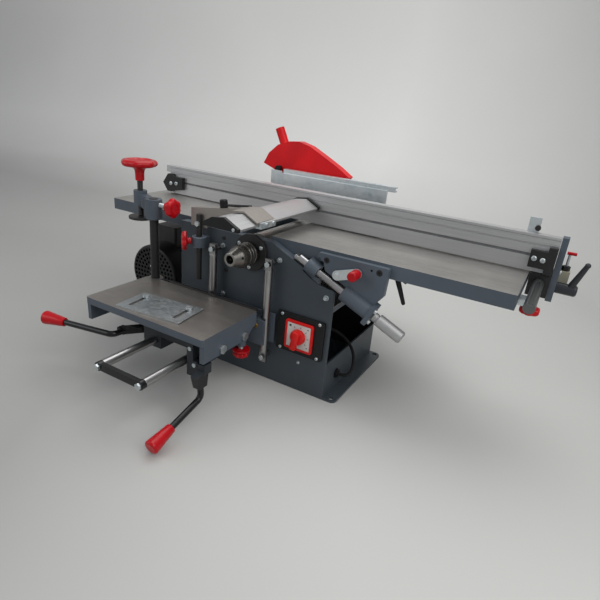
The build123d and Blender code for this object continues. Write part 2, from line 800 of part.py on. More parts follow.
def guard_lock_knob():
    foot = (knob_x, knob_y, arm_line(knob_x))
    up = Vector(-arm_rise, 0, 1).normalized()
    top = Vector(*foot) + up * 17
    knob = bar(foot, top, 8)
    knob = fillet(knob.edges().sort_by(Axis.Z)[-1], 4)
    start = Vector(*foot) + up * 5
    lever = bar(start, start + Vector(1, 0, arm_rise).normalized() * 68, 2.4, 1.8)
    return knob + lever


# mortising unit

def guide_bar(x):
    body = bar((x, bar_y, 52), (x, bar_y, 276), bar_r)
    for z in (265, 63):
        body += bar((x, bar_y, z), (x, -cab_y, z), 5)
        body -= slab((x - 9, bar_y - bar_r - 1, z - 12), (x + 9, bar_y - bar_r + 4, z + 12))
    return body


def mortise_knee():
    body = slab((-100, -139.5, 95), (70, -cab_y - 6.5, 160))
    body += slab((bar_left + 3, -161, 95), (bar_right - 3, -139.5, knee_top))
    body += slab((-130, -190, 90), (20, -160, knee_top))
    body += slab((20, -165, 95), (62, -159, knee_top))
    body += bar((knee_x, knee_y, 90), (knee_x, knee_y, 104), 10)
    for x in (bar_left, bar_right):
        body -= bar((x, bar_y, 80), (x, bar_y, 170), bar_r + run_fit)
    screw = bar((43, -168, 137), (43, -165, 137), 5)
    return body, screw


knee_x = 20
knee_y = -180
knee_top = 149.2


def knee_knob():
    stem = bar((knee_x, knee_y, 83), (knee_x, knee_y, 90), 5)
    flange = bar((knee_x, knee_y, 77), (knee_x, knee_y, 83), 18.5)
    return stem + flange + star((knee_x, knee_y, 77), (0, 0, -1), 17.5, 13, 8)


def stroke_rods():
    rods = [bar((x, -418, stroke_z), (x, -190, stroke_z), stroke_r) for x in (stroke_left, stroke_right)]
    end = slab((stroke_left, -428, stroke_z - 6.5), (stroke_right, -418, stroke_z + 6.5))
    for x in (stroke_left, stroke_right):
        end += bar((x, -428, stroke_z), (x, -418, stroke_z), 8.5)
    heads = [hexagon((x, -433, stroke_z), (x, -428, stroke_z), 11) for x in (stroke_left, stroke_right)]
    return *rods, end, *heads


saddle_near = -296
saddle_lug = 16
lever_hinge = (38, -320, 105)
swing_hinge = (-146, -262)


def mortise_saddle():
    body = slab((-132, saddle_near, 92), (18, -194, 150))
    for x in (stroke_left, stroke_right):
        body -= bar((x, saddle_near - 1, stroke_z), (x, -193, stroke_z), stroke_r + run_fit)
    for y in (cross_near, cross_back):
        body -= bar((-133, y, cross_z), (19, y, cross_z), cross_r + run_fit)
    bracket = slab((6, -326, 118), (20, saddle_near, 150)) + slab((6, -326, 86), (30, saddle_near, 118))
    bracket -= bar((5, lever_hinge[1], lever_hinge[2]), (31, lever_hinge[1], lever_hinge[2]), 4 + run_fit)
    bracket -= bar((stroke_right, -327, stroke_z), (stroke_right, saddle_near + 1, stroke_z), stroke_r + 2.5)
    body += bracket
    body -= slab((stroke_left + saddle_lug, saddle_near - 1, 91), (stroke_right - saddle_lug, -193, 118))
    lug = slab((-160, -274, 114), (-132, -250, 121))
    lug -= bar((*swing_hinge, 113), (*swing_hinge, 122), 5 + run_fit)
    screws = [bar((x, -328.5, z), (x, -326, z), 4) for x, z in ((14, 141), (24, 111))]
    return body + lug, *screws


def mortise_table():
    body = slab((top_left, top_near, top_z - top_t), (top_right, top_back, top_z))
    body = fillet(body.edges().filter_by(Axis.Z), 5)
    skirt = [(top_near + 3, top_z - 2), (top_near + 3, skirt_low), (-200, skirt_low), (-183, 136),
             (top_back - 3, 142), (top_back - 3, top_z - 2)]
    for x in (top_left, top_right - skirt_t):
        body += plate_x(skirt, x, x + skirt_t)
    body += bar((hold_x, hold_y, top_z - top_t), (hold_x, hold_y, top_z), 17)
    rail = slab((-190, top_back, 150), (top_right - 4, top_back + 5.5, 172))
    heads = [hexagon((x, top_back + 5.5, 161), (x, top_back + 9, 161), 10) for x in (-160, 10)]
    return body, rail, *heads


def cross_rods():
    rods = []
    heads = []
    for y in (cross_near, cross_back):
        rods.append(bar((top_left + skirt_t, y, cross_z), (top_right - skirt_t, y, cross_z), cross_r))
        heads.append(hexagon((top_right, y, cross_z), (top_right + 5, y, cross_z), 16))
    return *rods, *heads


def table_insert():
    plate = slab((-73, -39.5, 0), (73, 39.5, 3))
    heads = []
    for x in (-52, 52):
        plate -= slab((x - 4, -26, -1), (x + 4, 26, 4))
        heads.append(bar((x, 21, 0), (x, 21, 3), 3.9) + bar((x, 21, 3), (x, 21, 8), 7))
    spot = Pos(-105, -278, top_z) * Rot(0, 0, 5.8)
    return spot * plate, *[spot * head for head in heads]


def bent_rod(points, bend, r):
    line = FilletPolyline(*points, radius=bend)
    start = Plane(origin=points[0], z_dir=Vector(*points[1]) - Vector(*points[0]))
    return sweep(start * Circle(r), path=line)


lever_rod_r = 6


def cross_lever():
    hx, hy = swing_hinge
    end_x, end_y, rod_h = -181, -304, 107
    hub = bar((hx, hy, 100), (hx, hy, 113.6), 12) + bar((hx, hy, 113.6), (hx, hy, 121), 5)
    sides = [(hx - 8, hy + 5), (hx + 5, hy - 6), (end_x + 8, end_y - 5), (end_x - 5, end_y + 6)]
    flat = plate_z(sides, 101, 113)
    block = slab((end_x - 9, end_y - 8, 101), (end_x + 8, end_y + 7, 113))
    way = [(end_x + 5, end_y, rod_h), (end_x, end_y - 28, rod_h), (-300, -355, rod_h)]
    rod = bent_rod(way, 13, lever_rod_r)
    grip = bar((-292, -353.4, rod_h), (-342, -363.1, rod_h), 9, 14)
    grip -= bar((end_x, end_y - 28, rod_h), (-300, -355, rod_h), lever_rod_r + seat_fit)
    return hub + flat + block + rod, grip


def stroke_lever():
    x, y, z = lever_hinge
    pin = bar((8, y, z), (31, y, z), 4)
    head = slab((30.4, -326, 96), (46.4, -306, 116))
    block = plate_x([(-344, 98), (-326, 104), (-326, 96), (-314, 96), (-317, 73), (-337, 72)], 30.4, 46.4)
    rod_x0 = x + 2
    rod = bent_rod([(rod_x0, -329, 78), (rod_x0, -326, 50), (rod_x0, -404, 28.6)], 13, lever_rod_r)
    grip = bar((rod_x0, -402, 29.1), (rod_x0, -450, 17), 9, 13.5)
    grip -= bar((rod_x0, -326, 50), (rod_x0, -404, 28.6), lever_rod_r + seat_fit)
    return pin + head, block + rod, grip


def holddown_post():
    return bar((hold_x, hold_y, top_z), (hold_x, hold_y, 345), hold_r)


def holddown_arm():
    body = bar((hold_x, hold_y, 302), (hold_x, hold_y, 344), 18)
    web = [(screw_x, 326), (hold_x, 312), (hold_x, 342), (screw_x, 352)]
    body += plate_y(web, hold_y - 9, hold_y + 9)
    body += bar((screw_x, hold_y, 326), (screw_x, hold_y, 356), 14)
    body -= bar((hold_x, hold_y, 300), (hold_x, hold_y, 357), hold_r + run_fit)
    return body - bar((screw_x, hold_y, 310), (screw_x, hold_y, 357), screw_r + run_fit)


def holddown_knob():
    start = hold_x + 18
    stem = bar((start, hold_y, 333), (start + 18, hold_y, 333), 5)
    hub = bar((start + 18, hold_y, 333), (start + 30, hold_y, 333), 10)
    return stem + hub + star((start + 30, hold_y, 333), (1, 0, 0), 21.5, 15)


def holddown_screw():
    screw = bar((screw_x, hold_y, 301), (screw_x, hold_y, 412), screw_r)
    rim = wheel_r - 5
    face = Circle(rim)
    for k in range(wheel_lobes):
        a = 2 * pi * k / wheel_lobes
        face += Pos((rim - 5) * cos(a), (rim - 5) * sin(a)) * Circle(10)
    wheel = Pos(screw_x, hold_y, 404) * extrude(face, amount=16)
    wheel -= bar((screw_x, hold_y, 414), (screw_x, hold_y, 421), 19, 23)
    wheel += bar((screw_x, hold_y, 376), (screw_x, hold_y, 404), 9.3, 10)
    return screw, wheel - bar((screw_x, hold_y, 300), (screw_x, hold_y, 412), screw_r + seat_fit)


wheel_r = 38.5
wheel_lobes = 7


def holddown_pad():
    return bar((screw_x, hold_y, 295), (screw_x, hold_y, 301), 26)


# saw

def saw_table():
    body = slab((-170, 110, cheek_top), (190, 300, 309))
    body -= slab((-144, 155, 300), (106, 173, 310))
    for x, low in ((-168, 255), (103, 235)):
        pts = [(cab_y, low), (cab_y, 272), (cab_y + 3, 275), (cab_y + 3, cheek_top), (285, cheek_top),
               (285, 294)]
        body += plate_x(pts, x, x + 4)
    return body


def riving_knife():
    pts = [(-108, 262), (-108, 330), (-114, 385), (-114, 409), (-142, 409), (-146, 360), (-135, 300),
           (-135, 262)]
    knife = plate_y(pts, blade_y, blade_y + blade_t)
    knife -= bar((hood_x, 160, hood_z), (hood_x, 170, hood_z), 4 + run_fit)
    arm = slab((-135, cab_y, 265), (-108, blade_y, 288))
    return knife, arm


hood_x = -123
hood_z = 401
hood_near = 152
hood_wide = 24
hood_far = hood_near + hood_wide
hood_wall = 3
hood_outline = [(-172, 409), (-158, 435), (-133, 457), (-102, 468), (-73, 470.5), (-42, 462.5), (0, 442.5),
                (36.6, 424), (66, 406), (60, 398), (20, 396), (-110, 392), (-135, 396)]
spout_r = 11
spout_wall = 2.5


def saw_hood():
    body = plate_y(hood_outline, hood_near, hood_far)
    mid_y = (hood_near + hood_far) / 2
    spout_foot, spout_top = (-117, mid_y, 452), (-138, mid_y, 495)
    spout = bar(spout_foot, spout_top, spout_r) - body
    inner = []
    cx, cz = -60, 420
    for x, z in hood_outline:
        reach = hypot(x - cx, z - cz)
        keep = (reach - hood_wall - 1) / reach
        inner.append((cx + (x - cx) * keep, cz + (z - cz) * keep))
    low = [(x, z - 14) for x, z in inner]
    body -= plate_y(inner, hood_near + hood_wall, hood_far - hood_wall)
    body -= plate_y(low, hood_near + hood_wall, hood_far - hood_wall)
    duct = bar(spout_foot, (-142.4, mid_y, 504), spout_r - spout_wall)
    body -= duct
    spout -= duct
    hole = bar((hood_x, hood_near - 1, hood_z), (hood_x, hood_far + 1, hood_z), 4 + seat_fit)
    pin = bar((hood_x, hood_near - 2, hood_z), (hood_x, hood_far + 4, hood_z), 4)
    knob = bar((hood_x, hood_near - 11, hood_z), (hood_x, hood_near, hood_z), 8) - hole
    knob -= bar((hood_x, hood_near - 2, hood_z), (hood_x, hood_near, hood_z), 4)
    return body - hole, spout, pin - knob, knob


def rip_fence():
    plate = slab((-127, 120, 309.5), (174, 123, 396.5)) + slab((-127, 120, 396.5), (-97, 123, 401))
    rail = slab((-94, 123, 395), (191, 137, 406)) - slab((-95, 126, 398), (192, 138, 403))
    for x in (-80, 150):
        plate += slab((x, 123, 350), (x + 24, 126, 395))
    return plate, rail


# mains lead

def machine_cable():
    way = [(198, -72, 37), (218, -72, 37), (221, -54, 58), (206, -32, 82), (176, -22, 101), (142, -42, 121),
           (142, -80, 121)]
    line = FilletPolyline(*way, radius=[17, 17, 20, 20, 20])
    start = Plane(origin=way[0], z_dir=Vector(*way[1]) - Vector(*way[0]))
    return sweep(start * Circle(3.2), path=line)


def cable_gland():
    body = bar((cab_x - sheet - 6, gland_y, gland_z), (cab_x + 8, gland_y, gland_z), gland_r)
    body += hexagon((cab_x, gland_y, gland_z), (cab_x + 5, gland_y, gland_z), 20)
    return body


save("base_cabinet", base_cabinet())
save("front_cheek", cheek())
save("rear_cheek", mirrored(cheek()))
save("guide_rods", *both(guide_rod()))
save("outfeed_table", table(outfeed_top, -throat, outfeed_from, table_y))
save("bearing_caps", bearing_cap(cap_r), mirrored(bearing_cap(rear_cap_r)))
save("spindle_bearings", *both(bearing()))
save("cabinet_bolts", *cabinet_bolts())
save("switch_plate", *switch_plate())
save("switch_knob", switch_knob())
save("spindle_shaft", spindle_shaft())
save("cutter_block", *cutter_block())
save("drill_chuck", *drill_chuck())
save("spindle_pulley", pulley(0, spin_z, pulley_r, shaft_r + seat_fit))
save("saw_blade", *saw_blade())
save("drive_belt", drive_belt())
save("motor_body", *motor_body())
save("motor_cowl", motor_cowl())
save("motor_rotor", *motor_rotor())
save("thicknesser_bed", thicknesser_bed())
save("infeed_table", infeed_table())
save("infeed_aprons", *infeed_aprons())
save("infeed_handle", infeed_handle())
save("lock_crank", *lock_crank())
save("table_lock_lever", table_lock_lever())
save("fence_bracket", fence_bracket())
save("fence_tube", fence_tube())
save("fence_carriage", fence_carriage())
save("fence_end_plate", *fence_end_plate())
save("fence_profile", fence_profile())
save("fence_end_blocks", *fence_end_blocks())
save("fence_lock_knob", fence_lock_knob())
save("tilt_lever", tilt_lever())
save("guard_clamp", guard_clamp())
save("guard_post", guard_post())
save("guard_post_knob", guard_post_knob())
save("guard_arm", *guard_arm())
save("guard_lock_knob", guard_lock_knob())
save("bridge_guard", *bridge_guard())
save("guide_bars", guide_bar(bar_left), guide_bar(bar_right))
save("mortise_knee", *mortise_knee())
save("knee_knob", knee_knob())
save("stroke_rods", *stroke_rods())
save("mortise_saddle", *mortise_saddle())
save("stroke_lever", *stroke_lever())
save("cross_lever", *cross_lever())
save("mortise_table", *mortise_table())
save("cross_rods", *cross_rods())
save("table_insert", *table_insert())
save("holddown_post", holddown_post())
save("holddown_arm", holddown_arm())
save("holddown_knob", holddown_knob())
save("holddown_screw", *holddown_screw())
save("holddown_pad", holddown_pad())
save("saw_table", saw_table())
save("riving_knife", *riving_knife())
save("saw_hood", *saw_hood())
save("rip_fence", *rip_fence())
save("machine_cable", machine_cable())
save("cable_gland", cable_gland())
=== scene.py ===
import json
import math

import bmesh
import bpy
from bpy.props import FloatProperty, FloatVectorProperty, IntProperty, PointerProperty
from mathutils import Matrix, Vector


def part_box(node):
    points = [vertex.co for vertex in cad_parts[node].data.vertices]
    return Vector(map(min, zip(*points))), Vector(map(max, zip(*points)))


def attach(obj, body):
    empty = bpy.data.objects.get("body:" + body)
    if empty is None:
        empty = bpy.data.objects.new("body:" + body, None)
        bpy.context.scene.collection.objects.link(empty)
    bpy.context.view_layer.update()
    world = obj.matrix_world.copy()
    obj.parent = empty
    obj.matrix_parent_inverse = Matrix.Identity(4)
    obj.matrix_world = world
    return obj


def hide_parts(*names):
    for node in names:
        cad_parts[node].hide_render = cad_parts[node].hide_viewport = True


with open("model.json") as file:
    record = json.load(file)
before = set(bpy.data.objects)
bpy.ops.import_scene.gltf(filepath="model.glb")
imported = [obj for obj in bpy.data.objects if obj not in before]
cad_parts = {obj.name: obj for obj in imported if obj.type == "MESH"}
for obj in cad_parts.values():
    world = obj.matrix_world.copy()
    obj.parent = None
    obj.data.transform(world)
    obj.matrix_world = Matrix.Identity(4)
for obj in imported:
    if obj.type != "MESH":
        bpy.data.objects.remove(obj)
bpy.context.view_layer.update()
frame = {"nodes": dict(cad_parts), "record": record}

bl_info = {
    "name": "Combination Woodworking Machine",
    "version": (1, 0, 0),
    "blender": (4, 5, 0),
    "location": "View3D > Sidebar > Machine",
    "description": "Dresses the packed machine: rounded castings, knobs, levers, finishes and a studio",
    "category": "Object",
}

MM = 0.001
FULL_TURN = 2 * math.pi
WELD = 0.000002
FLAT_ANGLE = math.radians(0.4)
SMOOTH_ANGLE = math.radians(34)
SHARP_ANGLE = math.radians(38)
FRONT = (0, -1, 0)
UP = (0, 0, 1)

# camera: place in metres; azimuth, elevation and roll in degrees
CAMERA_PLACE = (0.52976, -0.901376, 0.560)
CAMERA_ANGLES = (28.035, 22.268, -5.43)

# faces and axes of the CAD, in mm, that dressed pieces sit on
CHEEK_FACE = -129
PLATE_FACE = -135
CAP_FACE = -137
SPINDLE_Z = 273
CHUCK_BACK = (0, -142, SPINDLE_Z)
DIAL = (128, -139, 128)
HOLD_SCREW = (-272, -163, 0)
GUIDE_ROD = (109.3, -121, 281.7)
GUIDE_SLOPE = math.radians(24.25)

# backs of the bar bolts' heads, 3 mm clear of the bars' flats
BAR_HEADS = -156

nodes = frame["nodes"]
body_of_node = {n: b for b, members in frame["record"]["behaviour"]["bodies"].items() for n in members}


# settings a user would change

def colour(name, description, default):
    return FloatVectorProperty(name=name, description=description, subtype="COLOR", size=3, min=0, max=1,
                               default=default)


def length(name, description, default):
    return FloatProperty(name=name, description=description, default=default, min=0, unit="LENGTH",
                         precision=4)


def power(name, description, default):
    return FloatProperty(name=name, description=description, default=default, min=0, unit="POWER")


class MachineColours(bpy.types.PropertyGroup):
    """Base colours of the finishes."""
    slate: colour("Slate paint", "Paint of the castings", (0.078, 0.097, 0.120))
    panel: colour("Panel paint", "Paint of the sheet cabinet", (0.048, 0.060, 0.071))
    iron: colour("Ground iron", "Planed table tops", (0.355, 0.345, 0.325))
    red: colour("Red plastic", "Knobs and grips", (0.46, 0.003, 0.008))
    black: colour("Black", "Blackened steel and black plastic", (0.012, 0.012, 0.013))
    zinc: colour("Zinc", "Plated sheet and bolts", (0.67, 0.70, 0.70))
    chrome: colour("Bright steel", "Guide rods and bars", (0.43, 0.425, 0.42))
    steel: colour("Plain steel", "Chuck, cutter block and shafts", (0.46, 0.45, 0.43))
    arm: colour("Arm steel", "Rolled steel of the guard arm", (0.31, 0.285, 0.26))
    aluminium: colour("Aluminium", "Fence, guard and twist handle", (0.60, 0.60, 0.60))
    brass: colour("Brass", "Stop screw of the knee", (0.60, 0.36, 0.09))
    beige: colour("Beige", "Stop block of the fence", (0.42, 0.40, 0.31))
    dial: colour("Dial", "Pale dial of the switch", (0.66, 0.64, 0.60))


class MachineSizes(bpy.types.PropertyGroup):
    """Sizes of the dressed pieces."""
    cast_edge: length("Casting edge", "Rounding of cast edges", 0.0014)
    sheet_edge: length("Sheet edge", "Rounding of sheet and bar edges", 0.0006)
    corner_fold: length("Fold", "Bend radius of the cabinet's folded corners", 0.0038)
    wheel: length("Handwheel", "Outer radius of the hold-down handwheel", 0.0385)
    lobe_depth: FloatProperty(name="Lobe depth", description="How far a star knob's valleys go in",
                              default=0.17, min=0, max=0.5, subtype="FACTOR")
    wheel_lobes: IntProperty(name="Wheel lobes", description="Finger lobes of the handwheel", default=7,
                             min=3)
    thread: length("Thread pitch", "Pitch of the hold-down screw", 0.003)


class MachineStage(bpy.types.PropertyGroup):
    """Floor, lamps and camera."""
    floor: colour("Floor", "Floor and backdrop", (0.60, 0.60, 0.575))
    backdrop: colour("Backdrop", "Pale glow of the backdrop behind the machine", (0.26, 0.26, 0.255))
    world: FloatProperty(name="Sky", description="Even light from all round", default=0.42, min=0)
    key: power("Key lamp", "Large lamp to the right", 21.0)
    top: power("Top lamp", "Lamp over the tables", 22.0)
    fill: power("Fill lamp", "Weak lamp at the left front", 11.0)
    lens: FloatProperty(name="Lens", description="Focal length", default=29.003, min=5, unit="CAMERA")


def settings(group):
    return getattr(bpy.context.scene, "machine_" + group)


# shader expressions and finishes

class Tone:
    """A shader value that takes part in Python expressions."""

    def __init__(self, tree, socket):
        self.tree = tree
        self.socket = socket

    def math(self, operation, first, second):
        node = self.tree.nodes.new("ShaderNodeMath")
        node.operation = operation
        for slot, value in zip(node.inputs, (first, second)):
            join(self.tree, slot, value)
        return Tone(self.tree, node.outputs[0])


for sign, operation in (("add", "ADD"), ("sub", "SUBTRACT"), ("mul", "MULTIPLY")):
    setattr(Tone, f"__{sign}__", lambda self, other, op=operation: self.math(op, self, other))
    setattr(Tone, f"__r{sign}__", lambda self, other, op=operation: self.math(op, other, self))


def join(tree, slot, value):
    """Links a tone to a socket, or sets the socket's own value."""
    if isinstance(value, Tone):
        tree.links.new(value.socket, slot)
    elif hasattr(value, "__len__"):
        size = len(slot.default_value)
        slot.default_value = (tuple(value) + (1.0,))[:size]
    else:
        slot.default_value = value


class Finish:
    """One surface finish on Object coordinates."""

    def __init__(self, name, **fixed):
        self.material = bpy.data.materials.new(name)
        self.material.use_nodes = True
        self.tree = self.material.node_tree
        self.shader = self.tree.nodes["Principled BSDF"]
        for socket, value in fixed.items():
            self.feed(socket.replace("_", " "), value)
        self.place = self.node("ShaderNodeTexCoord", out="Object")

    def node(self, kind, options=None, inputs=None, out=0):
        node = self.tree.nodes.new(kind)
        for key, value in (options or {}).items():
            setattr(node, key, value)
        for key, value in (inputs or {}).items():
            join(self.tree, node.inputs[key], value)
        return Tone(self.tree, node.outputs[out])

    def feed(self, socket, value):
        join(self.tree, self.shader.inputs[socket], value)

    def spot(self, stretch=(1, 1, 1), shift=(0, 0, 0), turn=(0, 0, 0)):
        inputs = {"Vector": self.place, "Scale": stretch, "Location": shift, "Rotation": turn}
        return self.node("ShaderNodeMapping", None, inputs, "Vector")

    def noise(self, scale, detail=3.0, stretch=(1, 1, 1), roughness=0.5):
        inputs = {"Vector": self.spot(stretch), "Scale": scale, "Detail": detail, "Roughness": roughness}
        return self.node("ShaderNodeTexNoise", None, inputs, "Fac")

    def along(self, axis, place=None):
        return self.node("ShaderNodeSeparateXYZ", None, {0: place or self.place}, axis)

    def step(self, value, low=0.3, high=0.7):
        inputs = {"Value": value, "From Min": low, "From Max": high}
        return self.node("ShaderNodeMapRange", {"clamp": True}, inputs, "Result")

    def mix(self, share, first, second):
        return self.node("ShaderNodeMix", {"data_type": "RGBA"}, {0: share, 6: first, 7: second}, 2)

    def bump(self, height, strength, depth):
        inputs = {"Height": height, "Strength": strength, "Distance": depth}
        self.feed("Normal", self.node("ShaderNodeBump", None, inputs, "Normal"))


def shade(base, factor):
    return tuple(min(1.0, c * factor) for c in base)


def tint(base, *factors):
    return tuple(c * factor for c, factor in zip(base, factors))


def drawn(axis, share):
    """Stretch of a pattern that runs along one axis."""
    return tuple(share if k == axis else 1.0 for k in range(3))


def painted(name, base, rough=0.38):
    """Sprayed paint: slow drift of tone, fine orange peel and a few pale rubs."""
    f = Finish(name, Specular_IOR_Level=0.42)
    drift = f.noise(6, 4)
    peel = f.noise(850, 2)
    rub = f.noise(34, 6, roughness=0.68)
    tone = f.mix(f.step(drift, 0.32, 0.68), shade(base, 0.86), shade(base, 1.14))
    tone = f.mix(f.step(rub, 0.60, 0.76) * 0.28, tone, shade(base, 1.8))
    f.feed("Base Color", tone)
    f.feed("Roughness", rough + 0.12 * peel + 0.10 * rub)
    f.bump(peel, 0.22, 0.0004)
    return f.material


def worn_paint(name, base, bare):
    """Painted edge with the paint rubbed thin and chipped to the metal in spots."""
    f = Finish(name, Specular_IOR_Level=0.45)
    chips = f.step(f.noise(150, 5, roughness=0.6), 0.60, 0.66)
    thin = f.noise(24, 3)
    tone = f.mix(f.step(thin), shade(base, 1.15), shade(base, 1.75))
    f.feed("Base Color", f.mix(chips * 0.7, tone, bare))
    f.feed("Metallic", chips * 0.6)
    f.feed("Roughness", 0.34 + 0.2 * thin)
    f.bump(chips, -0.4, 0.0002)
    return f.material


def ground(name, base, lined=0.34, stained=0.42, rough=0.36):
    """Ground cast iron: lines along the table, grey and brown clouds, a few oil stains."""
    f = Finish(name)
    lines = f.noise(520, 3, stretch=drawn(0, 0.02))
    coarse = f.noise(70, 2, stretch=drawn(0, 0.03))
    cloud = f.noise(9, 5, roughness=0.6)
    stain = f.step(f.noise(21, 6, roughness=0.62), 0.60, 0.72)
    tone = f.mix(f.step(cloud), shade(base, 0.82), shade(base, 1.16))
    tone = f.mix(f.step(lines, 0.35, 0.65) * lined, tone, shade(base, 0.62))
    tone = f.mix(stain * stained, tone, tint(base, 0.55, 0.46, 0.36))
    f.feed("Base Color", tone)
    f.feed("Metallic", 0.78 - stain * 0.3)
    f.feed("Roughness", rough + 0.12 * lines + 0.14 * coarse + 0.08 * stain)
    f.bump(lines, 0.25, 0.00015)
    return f.material


def moulded(name, base, rough=0.24, coat=0.12):
    """Glossy moulded plastic: soft tone drift, faint flow marks and hairline scuffs."""
    f = Finish(name, Coat_Weight=coat, Coat_Roughness=0.12, Specular_IOR_Level=0.24)
    drift = f.noise(16, 3)
    scuff = f.step(f.noise(260, 4, stretch=(1, 0.15, 1), roughness=0.7), 0.62, 0.72)
    pores = f.noise(700, 2)
    tone = f.mix(f.step(drift), shade(base, 0.84), shade(base, 1.12))
    scuffed = (0.9, 0.45, 0.42) if base[0] > 0.2 else (0.12, 0.12, 0.12)
    f.feed("Base Color", f.mix(scuff * 0.12, tone, scuffed))
    f.feed("Roughness", rough + 0.16 * scuff + 0.08 * drift)
    f.bump(pores, 0.10, 0.0003)
    return f.material


def blackened(name, base, rough=0.40):
    """Black oxide and black paint on steel: brownish drift, grain and lighter rubbed places."""
    f = Finish(name, Specular_IOR_Level=0.45)
    drift = f.noise(11, 4)
    grain = f.noise(620, 3)
    rub = f.step(f.noise(46, 5, roughness=0.65), 0.58, 0.74)
    tone = f.mix(f.step(drift), shade(base, 0.8), tint(base, 1.7, 1.5, 1.3))
    f.feed("Base Color", f.mix(rub * 0.30, tone, (0.09, 0.085, 0.08)))
    f.feed("Metallic", rub * 0.35)
    f.feed("Roughness", rough + 0.16 * grain - 0.08 * rub)
    f.bump(grain, 0.18, 0.0003)
    return f.material


def plated(name, base):
    """Zinc plating: crystal patches, bluish and yellowish clouds, dull spots."""
    f = Finish(name, Metallic=0.92)
    cell = f.node("ShaderNodeTexVoronoi", None, {"Vector": f.spot(), "Scale": 190.0}, "Color")
    patch = f.node("ShaderNodeSeparateColor", None, {"Color": cell}, "Red")
    cloud = f.noise(26, 4)
    dull = f.noise(330, 3)
    tone = f.mix(f.step(cloud), tint(base, 0.88, 0.94, 0.98), shade(base, 1.08))
    f.feed("Base Color", f.mix(patch * 0.22, tone, shade(base, 1.25)))
    f.feed("Roughness", 0.26 + 0.12 * patch + 0.12 * dull)
    f.bump(dull, 0.10, 0.0002)
    return f.material


def polished(name, base, axis, rough=0.17):
    """Drawn bright steel: hairlines along the bar, oily drift."""
    f = Finish(name, Metallic=1.0)
    hair = f.noise(320, 2, stretch=drawn(axis, 0.02))
    oil = f.noise(18, 4)
    tone = f.mix(f.step(oil), shade(base, 0.84), shade(base, 1.1))
    f.feed("Base Color", f.mix(f.step(hair, 0.4, 0.65) * 0.18, tone, shade(base, 0.7)))
    f.feed("Roughness", rough + 0.05 * hair + 0.08 * oil)
    return f.material


def brushed(name, base, axis, rough=0.34, groove=0.12):
    """Extruded or brushed aluminium: long lines along one axis, soft clouds, finger marks."""
    f = Finish(name)
    lines = f.noise(760, 3, stretch=drawn(axis, 0.012))
    bands = f.noise(120, 2, stretch=drawn(axis, 0.012))
    cloud = f.noise(13, 4)
    tone = f.mix(f.step(lines, 0.35, 0.65), shade(base, 0.94), shade(base, 1.04))
    tone = f.mix(f.step(bands, 0.4, 0.7) * groove, tone, shade(base, 0.74))
    f.feed("Base Color", f.mix(f.step(cloud, 0.5, 0.75) * 0.2, tone, shade(base, 0.8)))
    f.feed("Metallic", 0.86 - 0.1 * cloud)
    f.feed("Roughness", rough + 0.12 * lines + 0.08 * cloud)
    f.bump(lines, 0.09, 0.00012)
    return f.material


def machined(name, base, rough=0.26):
    """Machined steel with turning marks, oil film and dull patches."""
    f = Finish(name, Metallic=0.95)
    marks = f.noise(950, 2, stretch=(0.3, 1, 0.3))
    film = f.noise(42, 5, roughness=0.6)
    tone = f.mix(f.step(film, 0.35, 0.68), shade(base, 0.72), tint(base, 1.16, 1.12, 1.04))
    f.feed("Base Color", tone)
    f.feed("Roughness", rough + 0.14 * marks + 0.10 * film)
    f.bump(marks, 0.12, 0.0002)
    return f.material


def matt(name, base, rough=0.62):
    """Rubber and painted shade in hollows: matt with a fine grain and dusty places."""
    f = Finish(name, Specular_IOR_Level=0.3)
    grains = f.noise(420, 3)
    dust = f.noise(30, 5, roughness=0.6)
    f.feed("Base Color", f.mix(f.step(dust, 0.5, 0.78) * 0.35, base, shade(base, 2.2)))
    f.feed("Roughness", rough + 0.2 * grains)
    f.bump(grains, 0.25, 0.0003)
    return f.material


